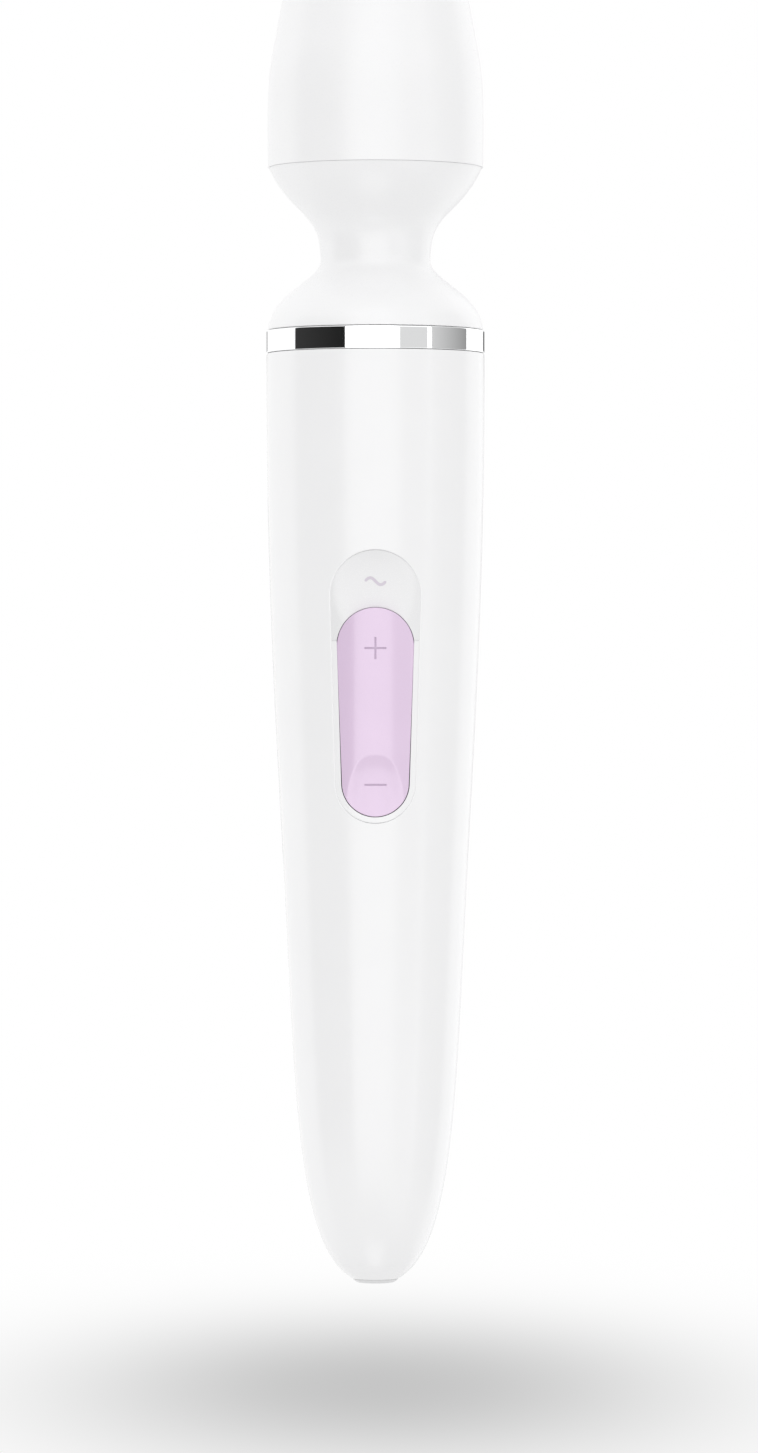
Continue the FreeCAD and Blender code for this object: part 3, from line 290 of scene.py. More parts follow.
def moulded(name, colour, rough, grain=4000, height=0.00002, mottle=0.015, metal=0.0, coat=0.0,
            coat_rough=0.2, stretch=(1, 1, 1)):
    """A moulded or finished surface: fine grain, slight mottling and uneven gloss."""
    material, tree, shader = nodes_of(name)
    shader.inputs["Metallic"].default_value = metal
    shader.inputs["Coat Weight"].default_value = coat
    shader.inputs["Coat Roughness"].default_value = coat_rough
    patches = noise(tree, 90, 3.0, stretch)
    tint = ramp_between(tree, patches, "Fac", shade(colour, 1 - mottle), shade(colour, 1 + mottle))
    link(tree, tint, "Color", shader, "Base Color")
    fine = noise(tree, grain, 2.0, stretch)
    roughen(tree, shader, fine, "Fac", rough * 0.88, rough * 1.12)
    raise_with(tree, shader, fine, "Fac", 0.25, height)
    return material


def banded(name, dark, light, rough, scale, direction, metal=0.0, height=0.0002):
    """A surface of fine parallel turns or leaves, such as windings or a stack of sheets."""
    material, tree, shader = nodes_of(name)
    shader.inputs["Metallic"].default_value = metal
    lines = bands(tree, scale, direction)
    tint = ramp_between(tree, lines, "Fac", dark, light, 0.1, 0.6)
    link(tree, tint, "Color", shader, "Base Color")
    fine = noise(tree, 1500, 2.0)
    roughen(tree, shader, fine, "Fac", rough * 0.8, rough * 1.2)
    raise_with(tree, shader, lines, "Fac", 0.6, height)
    return material


WHITE = (0.9, 0.9, 0.905)
PALE_GREY = (0.83, 0.83, 0.835)
CHROME = (0.93, 0.935, 0.94)
LILAC = (0.75, 0.585, 0.77)
FINE = 0.000008

shell_white = moulded("shell_white", WHITE, 0.24, grain=1400, height=0.000006, mottle=0.004)
silicone = moulded("silicone_white", WHITE, 0.3, grain=5200, height=FINE, mottle=0.004)
chrome = moulded("ring_chrome", CHROME, 0.035, grain=900, height=0.0000006, mottle=0.006, metal=1.0)
panel_grey = moulded("panel_grey", PALE_GREY, 0.26, grain=6500, height=FINE, mottle=0.006)
lilac = moulded("rocker_lilac", LILAC, 0.3, grain=6500, height=FINE, mottle=0.008, coat=1.0,
                coat_rough=0.16)
# The marks' darker tones are painted shade in their engraved grooves; the cutters carry them onto the
# groove faces.
mark_grey_painted_shade = moulded("mark_grey_painted_shade", (0.66, 0.61, 0.68), 0.5, grain=6500, mottle=0.02)
mark_lilac_painted_shade = moulded("mark_lilac_painted_shade", (0.6, 0.47, 0.62), 0.5, grain=6500, mottle=0.02)
# The end plug's grey is partly its own tone and partly painted shade along the underside of the tip.
plug_grey = moulded("plug_grey", (0.74, 0.74, 0.745), 0.35, grain=3000, mottle=0.015)
gold = moulded("contact_gold", (0.88, 0.68, 0.32), 0.2, grain=3000, mottle=0.05, metal=1.0)
nickel = moulded("nickel", (0.72, 0.71, 0.68), 0.25, mottle=0.04, metal=1.0)
seal = moulded("seal_black", (0.03, 0.03, 0.03), 0.6, mottle=0.1)
core_rubber = moulded("core_rubber", (0.1, 0.1, 0.11), 0.65, grain=2500, height=0.00008, mottle=0.12)
cell_wrap = moulded("cell_wrap", (0.06, 0.16, 0.4), 0.3, grain=700, height=0.00004, mottle=0.06, coat=0.3)
tab_nickel = moulded("tab_nickel", (0.7, 0.69, 0.66), 0.3, mottle=0.06, metal=1.0, stretch=(1, 1, 0.1))
membrane = moulded("membrane", (0.5, 0.5, 0.52), 0.55, grain=3000, mottle=0.04)
chassis = moulded("chassis_black", (0.05, 0.05, 0.055), 0.5, grain=2200, height=0.00006, mottle=0.1)
switch = moulded("switch_black", (0.04, 0.04, 0.04), 0.4, mottle=0.1)
ivory = moulded("connector_ivory", (0.78, 0.74, 0.62), 0.45, mottle=0.04)
chip = moulded("chip_black", (0.025, 0.025, 0.027), 0.5, grain=3500, height=0.00003, mottle=0.15)
sleeve_rubber = moulded("sleeve_rubber", (0.06, 0.06, 0.065), 0.6, grain=2500, height=0.00006, mottle=0.12)
ferrite = moulded("magnet_ferrite", (0.09, 0.09, 0.1), 0.55, grain=2600, height=0.00005, mottle=0.15)
copper = banded("commutator_copper", (0.35, 0.16, 0.08), (0.8, 0.43, 0.26), 0.3, 300, "X", metal=1.0)
leaves = banded("core_leaves", (0.2, 0.2, 0.21), (0.5, 0.5, 0.51), 0.4, 160, "Z", metal=1.0)
windings = banded("windings", (0.28, 0.08, 0.03), (0.75, 0.34, 0.15), 0.28, 260, "Z", metal=0.8)
carbon = moulded("brush_carbon", (0.06, 0.06, 0.06), 0.5, grain=3000, mottle=0.1)
zinc = moulded("motor_zinc", (0.62, 0.63, 0.64), 0.32, grain=1800, mottle=0.06, metal=1.0,
               stretch=(1, 1, 0.12))
board = moulded("board_green", (0.03, 0.2, 0.09), 0.32, grain=900, height=0.00004, mottle=0.1, coat=0.5)
nylon = moulded("housing_grey", (0.27, 0.27, 0.29), 0.5, grain=2400, height=0.00005, mottle=0.08)
steel = moulded("screw_steel", (0.58, 0.59, 0.6), 0.3, grain=2000, mottle=0.06, metal=1.0)
bronze = moulded("bush_bronze", (0.6, 0.42, 0.2), 0.4, grain=3500, height=0.00003, mottle=0.1, metal=1.0)
red_lead = moulded("lead_red", (0.5, 0.03, 0.03), 0.45, mottle=0.05)

FINISHES = {
    shell_white: ("handle_front_shell", "handle_rear_shell"),
    silicone: ("neck_sleeve", "head_cap"),
    chrome: ("chrome_ring",),
    panel_grey: ("control_bezel", "mode_button"),
    lilac: ("intensity_rocker",),
    plug_grey: ("end_plug",),
    gold: ("charge_contacts",),
    nickel: ("charge_magnets",),
    seal: ("plug_seal",),
    core_rubber: ("neck_core",),
    cell_wrap: ("battery_cell",),
    tab_nickel: ("battery_tabs",),
    membrane: ("keypad_membrane",),
    chassis: ("chassis",),
    switch: ("tact_switches",),
    ivory: ("board_connectors",),
    chip: ("board_chips",),
    sleeve_rubber: ("motor_sleeve",),
    ferrite: ("motor_magnets",),
    copper: ("commutator",),
    leaves: ("armature_core",),
    windings: ("armature_windings",),
    carbon: ("motor_brushes",),
    zinc: ("motor_can",),
    bronze: ("motor_bush_upper", "motor_bush_lower"),
    board: ("charge_board", "main_board"),
    nylon: ("neck_base", "spring_seat", "head_housing_upper", "head_housing_lower", "motor_clamp",
            "motor_end_bell"),
    steel: ("board_screws", "chassis_screws", "neck_base_screws", "motor_clamp_screws", "neck_spring",
            "motor_shaft", "eccentric_weight", "rocker_pin"),
    red_lead: ("motor_leads", "battery_leads", "charge_leads"),
}
for material, names in FINISHES.items():
    for name in names:
        mesh = nodes[name].data
        mesh.materials.clear()
        mesh.materials.append(material)


# ---- handle shells -----------------------------------------------------------------------

# Control points of curves are (radius, height).
HANDLE_OUTSIDE = [(5.6, 0.95), (9.7, 3.2), (15.8, 12.5), (20.5, 45.7), (22.5, 99.4), (27.5, 181.0),
                  (27.25, 232.2)]
HANDLE_INSIDE = [(7.4, 3.6), (9.6, 4.8), (13.6, 14.0), (18.3, 45.7), (20.3, 99.4), (25.3, 181.0),
                 (25.05, 232.2)]
NOSE_HEIGHT, FLOOR_HEIGHT, HANDLE_TOP, PLUG_BORE = 0.95, 3.6, 232.2, 5.15
PARTING_EDGE, RIM_EDGE, NOSE_EDGE = 0.13, 0.3, 0.06
# A pill is a round-ended opening or key: its upper circle's height and radius, then its lower one's.
RECESS = (171.4, 11.2, 125.0, 9.9)
OPENING_EDGE = 0.3
OPENING_LOW, OPENING_HIGH = 104.0, 196.0
OPENING_INSETS = [0, 0.03, 0.07, 0.12, 0.18, 0.25, 0.34, 0.55, 1.0, 1.7]
OPENING_SPREAD = 16
MEAN_RADIUS = 26.0
outside, inside = spline(HANDLE_OUTSIDE, 6000), spline(HANDLE_INSIDE, 6000)


def outer_radius(height):
    return np.interp(height, outside[:, 1], outside[:, 0])


def inner_radius(height):
    wall = np.interp(height, inside[:, 1], inside[:, 0])
    return np.where(np.asarray(height) < FLOOR_HEIGHT, PLUG_BORE, wall)


def pill_frame(ends, arc=120, sides=None):
    """Round a pill: centres, radii and outward ways, so that a point is centre + radius * way."""
    high, high_radius, low, low_radius = ends
    lean = math.asin((high_radius - low_radius) / (high - low))
    sides = np.linspace(0, 1, 110)[1:-1] if sides is None else np.asarray(sides)
    centres, radii, ways = [], [], []

    def add(height, radius, angle):
        centres.append((0.0, height))
        radii.append(radius)
        ways.append((math.cos(angle), math.sin(angle)))

    for angle in np.linspace(-lean, math.pi + lean, arc):
        add(high, high_radius, angle)
    for t in sides:
        add(high + (low - high) * t, high_radius + (low_radius - high_radius) * t, math.pi + lean)
    for angle in np.linspace(math.pi + lean, 2 * math.pi - lean, arc):
        add(low, low_radius, angle)
    for t in sides[::-1]:
        add(high + (low - high) * t, high_radius + (low_radius - high_radius) * t, -lean)
    return np.array(centres), np.array(radii)[:, None], np.array(ways)


def pill_depth(x, height, ends):
    """How far inside a pill a point lies."""
    high, high_radius, low, low_radius = ends
    x, up = np.abs(x), height - low
    rise = high - low
    b = (low_radius - high_radius) / rise
    a = math.sqrt(1 - b * b)
    k = -b * x + a * up
    below = low_radius - np.hypot(x, up)
    above = high_radius - np.hypot(x, up - rise)
    beside = low_radius - (a * x + b * up)
    return np.where(k < 0, below, np.where(k > a * rise, above, beside))


# Across the half shell: angles from the front line, closer together at the parting line.
edge_steps = np.radians([0, 0.12, 0.28, 0.5, 0.9])
even_steps = np.linspace(math.radians(1.8), math.radians(178.2), 97)
angles = np.concatenate([edge_steps, even_steps, math.pi - edge_steps[::-1]]) - math.pi / 2
nose_rows = NOSE_HEIGHT + np.array([0, 0.05, 0.12, 0.22, 0.4, 0.7, 1.05, 1.5, 2.0, 2.55, 3.15, 3.8])
rim_rows = HANDLE_TOP - np.array([0.5, 0.32, 0.2, 0.12, 0.06, 0])
low_rows = np.concatenate([nose_rows, np.linspace(4.6, OPENING_LOW, 110)])
band_rows = np.linspace(OPENING_LOW, OPENING_HIGH, 80)
top_rows = np.concatenate([np.linspace(OPENING_HIGH, 231.4, 30), rim_rows])


def edge_drop(angle, height):
    """How far the half shell's rounded edges drop: at the parting line, the rim and the nose."""
    side = (math.pi / 2 - np.abs(angle)) * outer_radius(height)
    return np.maximum.reduce([
        fall(side, PARTING_EDGE),
        fall(HANDLE_TOP - height, RIM_EDGE),
        fall(height - NOSE_HEIGHT, NOSE_EDGE),
    ])


def on_handle(angle, height, radius, front=True):
    """Points at an angle from the front line or the back line."""
    sign = -1 if front else 1
    return np.stack([radius * np.sin(angle), sign * radius * np.cos(angle), height], axis=-1)


def grid_faces(rows, columns, first=0):
    """Faces of a grid whose rows run upwards and whose columns run towards +X at the front."""
    faces = []
    for i in range(rows - 1):
        for j in range(columns - 1):
            a = first + i * columns + j
            faces.append([a, a + 1, a + 1 + columns, a + columns])
    return faces


def rear_shell():
    heights = np.concatenate([low_rows, band_rows[1:], top_rows[1:]])
    angle, height = np.meshgrid(angles, heights)
    angle, height = angle.ravel(), height.ravel()
    outer = on_handle(angle, height, outer_radius(height) - edge_drop(angle, height), front=False)
    inner = on_handle(angle, height, inner_radius(height), front=False)
    faces = [face[::-1] for face in grid_faces(len(heights), len(angles))]
    return shell_between(outer, inner, faces)


def grid_blocks():
    """The front half's grids under and over the opening, and the loop of points between them."""
    columns = len(angles)
    angle, height, faces, first_rows = [], [], [], []
    for rows in (low_rows, top_rows):
        first = len(angle)
        first_rows.append(first)
        a, h = np.meshgrid(angles, rows)
        angle += a.ravel().tolist()
        height += h.ravel().tolist()
        faces += grid_faces(len(rows), columns, first)
    last_low = first_rows[0] + (len(low_rows) - 1) * columns
    lower_edge = [last_low + j for j in range(columns)]
    upper_edge = [first_rows[1] + j for j in range(columns)]
    sides = []
    for side_angle in (angles[-1], angles[0]):
        sides.append([len(angle) + k for k in range(len(band_rows) - 2)])
        angle += [side_angle] * (len(band_rows) - 2)
        height += band_rows[1:-1].tolist()
    loop = lower_edge + sides[0] + upper_edge[::-1] + sides[1][::-1]
    return np.array(angle), np.array(height), faces, loop


def opening_rings(angle, height, loop):
    """Rings of points (angle, height) from the opening out to the loop, and the opening's own points."""
    centres, radii, ways = pill_frame(RECESS, 1200, np.linspace(0, 1, 1500)[1:-1])
    outline = centres + radii * ways
    rim = np.stack([angle[loop] * MEAN_RADIUS, height[loop]], axis=1)
    nearest = np.argmin(((rim[:, None] - outline[None]) ** 2).sum(-1), axis=1)
    start, way = outline[nearest], ways[nearest]
    rings = []
    for distance in OPENING_INSETS:
        place = start + distance * way
        sideways = np.arcsin(np.clip(place[:, 0] / outer_radius(place[:, 1]), -1, 1))
        rings.append(np.stack([sideways, place[:, 1]], axis=1))
    last_near = rings[-1]
    far = np.stack([angle[loop], height[loop]], axis=1)
    for k in range(1, OPENING_SPREAD):
        t = (k / OPENING_SPREAD) ** 1.4
        rings.append(last_near * (1 - t) + far * t)
    return rings, start


def front_shell():
    """The front half, with rings of points round the opening for the controls."""
    angle, height, faces, loop = grid_blocks()
    rings, start = opening_rings(angle, height, loop)
    drops, shifts = [edge_drop(angle, height)], [np.zeros(len(angle))]
    shift = np.arcsin(start[:, 0] / inner_radius(start[:, 1])) - rings[0][:, 0]
    for k, ring in enumerate(rings):
        at_opening = fall(OPENING_INSETS[k], OPENING_EDGE) if k < len(OPENING_INSETS) else 0
        drops.append(np.maximum(at_opening, edge_drop(ring[:, 0], ring[:, 1])))
        shifts.append(shift * (1 - k / (len(rings) - 1)))
    count, first = len(loop), len(angle)
    rows = [list(range(first + k * count, first + (k + 1) * count)) for k in range(len(rings))] + [loop]
    for near_row, far_row in zip(rows, rows[1:]):
        for k in range(count):
            following = (k + 1) % count
            faces.append([near_row[following], near_row[k], far_row[k], far_row[following]])
    angle = np.concatenate([angle] + [ring[:, 0] for ring in rings])
    height = np.concatenate([height] + [ring[:, 1] for ring in rings])
    outer = on_handle(angle, height, outer_radius(height) - np.concatenate(drops))
    inner = on_handle(angle + np.concatenate(shifts), height, inner_radius(height))
    return shell_between(outer, inner, faces)


def mount(piece, body, node):
    """The piece moves with a body and stands for a CAD node, which it hides."""
    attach(piece, body)
    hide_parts(node)


front = new_piece("shell_front", *front_shell(), shell_white)
rear = new_piece("shell_rear", *rear_shell(), shell_white)
mount(front, "handle", "handle_front_shell")
mount(rear, "handle", "handle_rear_shell")


# ---- control panel -----------------------------------------------------------------------

KEY_THICKNESS, MODE_THICKNESS = 2.4, 3.0
MODE_HEIGHT, PLUS_HEIGHT, MINUS_HEIGHT = 174.85, 158.35, 124.6
ROCKER_PIVOT, PIVOT_DEPTH = 142.5, 19.0
CONE_LOW, CONE_LOW_RADIUS, CONE_HIGH, CONE_HIGH_RADIUS = 115.0, 23.9, 183.0, 26.75

MODE_SUNK, MODE_BLEND = 0.12, 0.8
DISH_HEIGHT, DISH_RADIUS, DISH_DEPTH, DISH_RIM_SUNK = 172.0, 32.0, 1.8, 0.1
ROCKER_PROUD, ROCKER_CROWN = 0.42, 19.0
SCOOP_TOP, SCOOP_LOW, SCOOP_DEPTH = 132.0, 115.0, 1.35
SCOOP_DROP, SCOOP_DROP_HALF, SCOOP_REACH = 3.0, 4.9, 7.0
SCOOP_FADE, SCOOP_END = 3.0, 7.5

ROCKER = (158.8, 9.54, 125.0, 8.27)
ROCKER_REAR = (158.8, 9.05, 125.0, 7.8)
ROCKER_INSETS = [0, 0.02, 0.05, 0.09, 0.14, 0.2, 0.28, 0.4, 0.6]
ROCKER_EDGE, ROCKER_REAR_PROUD = 0.2, 0.15
STEM_RADIUS, STEM_SUNK, STEM_BACK, MODE_STEM_FRONT = 1.7, 1.4, 20.0, 24.2
HUB_HALF_WIDTH, HUB_HALF_HEIGHT, HUB_BACK = 5.0, 2.4, 17.4
BORE_RADIUS, BORE_REACH = 1.05, 9
MARK_HALF, MARK_HALF_WIDTH, MARK_DEPTH = 2.7, 0.24, 0.2

MODE_OUTLINE = (171.4, 11.17, 125.0, 9.87)
BUTTON_FLOOR, INNER_ARC = 160.2, 9.65
MODE_EDGE, MODE_REAR_SUNK, MODE_LEAN = 0.1, 0.1, 1.3
TILDE_HALF, TILDE_RISE, TILDE_HALF_WIDTH, TILDE_DEPTH = 2.6, 0.85, 0.36, 0.12
TILDE_END = 0.14

STEP = BUTTON_FLOOR - 0.03
FRAME_GAP, FRAME_EDGE, FRAME_SUNK = 0.03, 0.12, 0.15
FRAME_LOW, FRAME_LOW_WIDTH, FRAME_HIGH_WIDTH, FRAME_HALF_WIDTH = 116.0, 1.44, 1.3, 0.7
FRAME_DEEP_SUNK, FRAME_DEEP, FRAME_BACK = 3.0, 19.3, 18.3
FRAME_INSETS = [0, 0.01, 0.03, 0.06, 0.12, 0.25, 0.5, 0.75, 0.88, 0.94, 0.97, 0.99, 1.0]


def panel_radius(height):
    """The cone that the panel's faces follow."""
    share = (CONE_HIGH_RADIUS - CONE_LOW_RADIUS) * (np.asarray(height, float) - CONE_LOW)
    return CONE_LOW_RADIUS + share / (CONE_HIGH - CONE_LOW)


def follow(x, height, proud):
    """The depth (y) of a face that follows the handle, that far proud of it."""
    return -np.sqrt((panel_radius(height) + proud) ** 2 - np.asarray(x, float) ** 2)


def soft_max(first, second, blend):
    """The larger of two, with a rounded change from one to the other."""
    gap = np.clip(0.5 + 0.5 * (first - second) / blend, 0, 1)
    return second * (1 - gap) + first * gap + blend * gap * (1 - gap)


def ease(value, low, high):
    """A soft change from 0 at low to 1 at high."""
    t = np.clip((value - low) / (high - low), 0, 1)
    return t * t * (3 - 2 * t)


def mode_face(x, height):
    """The mode key: flush with the handle below, and sunk in a wide dish towards its top."""
    floor = DISH_DEPTH - DISH_RADIUS - (panel_radius(DISH_HEIGHT) - DISH_RIM_SUNK)
    dish = floor + np.sqrt(DISH_RADIUS ** 2 - (height - DISH_HEIGHT) ** 2)
    return soft_max(follow(x, height, -MODE_SUNK), dish, MODE_BLEND)


def rocker_face(x, height):
    """The rocker: crowned across, with a thumb scoop round its lower mark."""
    x = np.asarray(x, float)
    crown = ROCKER_CROWN - np.sqrt(ROCKER_CROWN ** 2 - x ** 2)
    face = -(panel_radius(height) + ROCKER_PROUD) + crown
    top = SCOOP_TOP - SCOOP_DROP * (np.minimum(np.abs(x), SCOOP_REACH) / SCOOP_DROP_HALF) ** 3
    share = np.clip((top - height) / (top - SCOOP_LOW), 0, 1)
    scoop = SCOOP_DEPTH * 4 * share * (1 - share)
    return face + scoop * (1 - ease(np.abs(x), SCOOP_FADE, SCOOP_END))


def rocker_back(x, height):
    return follow(x, height, ROCKER_REAR_PROUD - KEY_THICKNESS)


def mode_back(x, height):
    return follow(x, height, -MODE_REAR_SUNK - MODE_THICKNESS)


def plate(plan, faces, face, back, depth_inside, rounding, back_plan=None):
    """A closed plate between a face and a back, with its front edge rounded."""
    x, height = plan.T
    front = np.stack([x, face(x, height) + fall(depth_inside, rounding), height], axis=1)
    x, height = (plan if back_plan is None else back_plan).T
    rear = np.stack([x, back(x, height), height], axis=1)
    return shell_between(front, rear, faces)


def rocker_plan(ends, near, rings=34, arc=110):
    """Rings of points from a pill's outline to its middle line, which is shared by both sides."""
    centres, radii, ways = pill_frame(ends, arc)
    count = len(radii)
    plan = [centres + (radii - distance) * ways for distance in near]
    for k in range(1, rings):
        plan.append(centres + (radii - near[-1]) * (1 - k / rings) * ways)
    rows = [list(range(k * count, (k + 1) * count)) for k in range(len(plan))]
    sides = (count - 2 * arc) // 2
    first = len(plan) * count
    middle = [(0, ends[0])] + [tuple(centres[arc + k]) for k in range(sides)] + [(0, ends[2])]
    side_row = [first + 1 + k for k in range(sides)]
    rows.append([first] * arc + side_row + [first + 1 + sides] * arc + side_row[::-1])
    plan = np.concatenate(plan + [np.array(middle)])
    faces = []
    for outer, inner in zip(rows, rows[1:]):
        for k in range(count):
            following = (k + 1) % count
            corners = [outer[k], inner[k], inner[following], outer[following]]
            corners = list(dict.fromkeys(corners))
            if len(corners) > 2:
                faces.append(corners[::-1])
    return plan, faces


def stroke(name, path, half_width, face, depth, material):
    """A cutter that runs along a line on a face and reaches a depth below it."""
    path = np.array(path, float)
    along = np.gradient(path, axis=0)
    along /= np.linalg.norm(along, axis=1)[:, None]
    across = np.stack([-along[:, 1], along[:, 0]], axis=1)
    half = np.broadcast_to(np.asarray(half_width, float), (len(path),))[:, None]
    points, faces = [], []
    for side in (path - across * half, path + across * half):
        surface = face(side[:, 0], side[:, 1])
        for shift in (-1.0, depth):
            points.append(np.stack([side[:, 0], surface + shift, side[:, 1]], axis=1))
    count = len(path)
    order = [0, 1, 3, 2]
    for k in range(count - 1):
        for a, b in zip(order, order[1:] + order[:1]):
            faces.append([a * count + k, a * count + k + 1, b * count + k + 1, b * count + k])
    faces.append([a * count for a in order])
    faces.append([a * count + count - 1 for a in order[::-1]])
    return new_piece(name, np.concatenate(points), faces, material)


def rod(name, radius, start, end, material, steps=40):
    """A closed cylinder between two points, for cutting or joining."""
    start, end = np.array(start, float), np.array(end, float)
    way = (end - start) / np.linalg.norm(end - start)
    side = np.cross(way, [0.3, 0.2, 0.9])
    side /= np.linalg.norm(side)
    other = np.cross(way, side)
    turns = np.arange(steps) * 2 * math.pi / steps
    ring = radius * (np.cos(turns)[:, None] * side + np.sin(turns)[:, None] * other)
    points = np.concatenate([start + ring, end + ring])
    faces = [[k, (k + 1) % steps, steps + (k + 1) % steps, steps + k] for k in range(steps)]
    faces += [list(range(steps))[::-1], list(range(steps, 2 * steps))]
    return new_piece(name, points, faces, material)


def brick(name, low, high, material):
    """A closed block between two corners."""
    corners = [(x, y, z) for z in (low[2], high[2]) for y in (low[1], high[1]) for x in (low[0], high[0])]
    faces = [[0, 2, 3, 1], [4, 5, 7, 6], [0, 1, 5, 4], [2, 6, 7, 3], [0, 4, 6, 2], [1, 3, 7, 5]]
    return new_piece(name, corners, faces, material)


def combine(piece, tools, operation, sharp=35):
    """Join or cut a piece with tool meshes, which are then removed."""
    for tool in tools:
        bpy.context.view_layer.update()
        step = piece.modifiers.new("step", "BOOLEAN")
        step.operation = operation
        step.solver = "EXACT"
        step.material_mode = "TRANSFER"
        step.object = tool
        graph = bpy.context.evaluated_depsgraph_get()
        made = bpy.data.meshes.new_from_object(piece.evaluated_get(graph), depsgraph=graph)
        piece.modifiers.clear()
        piece.data = made
        bpy.data.objects.remove(tool)
    piece.data.name = piece.name
    for polygon in piece.data.polygons:
        polygon.use_smooth = True
    piece.data.set_sharp_from_angle(angle=math.radians(sharp))
    return piece


def rocker_piece():
    """The rocker with its two stems, its hub on the pivot pin, and its marks."""
    plan, faces = rocker_plan(ROCKER, ROCKER_INSETS)
    rear_plan = rocker_plan(ROCKER_REAR, ROCKER_INSETS)[0]
    inset = pill_depth(plan[:, 0], plan[:, 1], ROCKER)
    rocker = new_piece("key_rocker", *plate(
        plan, faces, rocker_face, rocker_back, inset, ROCKER_EDGE, rear_plan), lilac)
    joined = []
    for k, height in enumerate((PLUS_HEIGHT, MINUS_HEIGHT)):
        tip = (0, STEM_SUNK - float(panel_radius(height)), height)
        joined.append(rod(f"stem_{k}", STEM_RADIUS, (0, -STEM_BACK, height), tip, lilac))
    hub_front = STEM_SUNK - float(panel_radius(ROCKER_PIVOT))
    joined.append(brick("hub", (-HUB_HALF_WIDTH, hub_front, ROCKER_PIVOT - HUB_HALF_HEIGHT),
                        (HUB_HALF_WIDTH, -HUB_BACK, ROCKER_PIVOT + HUB_HALF_HEIGHT), lilac))
    combine(rocker, joined, "UNION")
    cutters = [rod("pin_bore", BORE_RADIUS, (-BORE_REACH, -PIVOT_DEPTH, ROCKER_PIVOT),
                   (BORE_REACH, -PIVOT_DEPTH, ROCKER_PIVOT), lilac)]
    # The mark cutters give the grooves' faces a darker tone: painted shade in the grooves.
    span = np.linspace(-MARK_HALF, MARK_HALF, 15)
    still = np.zeros(len(span))
    lines = [(span, still + PLUS_HEIGHT), (still, PLUS_HEIGHT + span), (span, still + MINUS_HEIGHT)]
    for k, line in enumerate(lines):
        path = np.stack(line, axis=1)
        cutters.append(stroke(f"mark_{k}", path, MARK_HALF_WIDTH, rocker_face, MARK_DEPTH, mark_lilac_painted_shade))
    return combine(rocker, cutters, "DIFFERENCE")


def mode_outlines(count=300):
    """The mode key's edges, each from its left leg to its right: the rocker's arc and the recess."""
    foot = math.asin((BUTTON_FLOOR - ROCKER[0]) / INNER_ARC)
    inner = [(INNER_ARC * math.cos(a), ROCKER[0] + INNER_ARC * math.sin(a))
             for a in np.linspace(math.pi - foot, foot, 900)]
    centres, radii, ways = pill_frame(MODE_OUTLINE, 900, np.linspace(0, 1, 900)[1:-1])
    outline = centres + radii * ways
    on_left = (outline[:, 1] >= BUTTON_FLOOR) & (ways[:, 0] < 0) & (centres[:, 1] < MODE_OUTLINE[0])
    left = outline[on_left][::-1]
    side_x = float(np.interp(BUTTON_FLOOR, left[:, 1], -left[:, 0]))
    left = left[left[:, 1] > BUTTON_FLOOR + 0.01]
    right = left[::-1] * np.array([-1, 1])
    outer = np.concatenate([[(-side_x, BUTTON_FLOOR)], left, outline[:900][::-1], right,
                            [(side_x, BUTTON_FLOOR)]])
    return evenly(inner, count), evenly(outer, count)


def mode_piece():
    """The mode key, a strip between the rocker's arc and the recess, with its stem and its mark.

    Behind its face the lower arc leans away from the rocker, whose top edge rises as it is pressed.
    """
    inner, outer = mode_outlines()
    near, far = [0, 0.004, 0.011, 0.02, 0.032], [0.968, 0.98, 0.989, 0.996, 1]
    shares = np.concatenate([near, np.linspace(0.05, 0.95, 48), far])
    plan = np.concatenate([inner * (1 - t) + outer * t for t in shares])
    radial = plan - np.array([0, ROCKER[0]])
    distance = np.linalg.norm(radial, axis=1)
    inset = np.minimum(pill_depth(plan[:, 0], plan[:, 1], MODE_OUTLINE), distance - INNER_ARC).clip(0)
    radial /= distance[:, None]
    lean = MODE_LEAN * np.repeat(1 - shares, len(inner)) * radial[:, 1].clip(0)
    mode = new_piece("key_mode", *plate(
        plan, grid_faces(len(shares), len(inner)), mode_face, mode_back, inset, MODE_EDGE,
        plan + radial * lean[:, None]), panel_grey)
    stem = rod("mode_stem", STEM_RADIUS, (0, -STEM_BACK, MODE_HEIGHT), (0, -MODE_STEM_FRONT, MODE_HEIGHT),
               panel_grey)
    combine(mode, [stem], "UNION")
    # The tilde's cutter gives its groove a darker tone: painted shade in the groove.
    wave = np.linspace(-1, 1, 41)
    tilde = np.stack([TILDE_HALF * wave, MODE_HEIGHT - TILDE_RISE * np.sin(wave * math.pi)], axis=1)
    past = (np.abs(wave) - (1 - TILDE_END)).clip(0) / TILDE_END
    width = TILDE_HALF_WIDTH * np.sqrt(1 - 0.9 * past ** 2)
    return combine(mode, [stroke("tilde", tilde, width, mode_face, TILDE_DEPTH, mark_grey_painted_shade)], "DIFFERENCE")


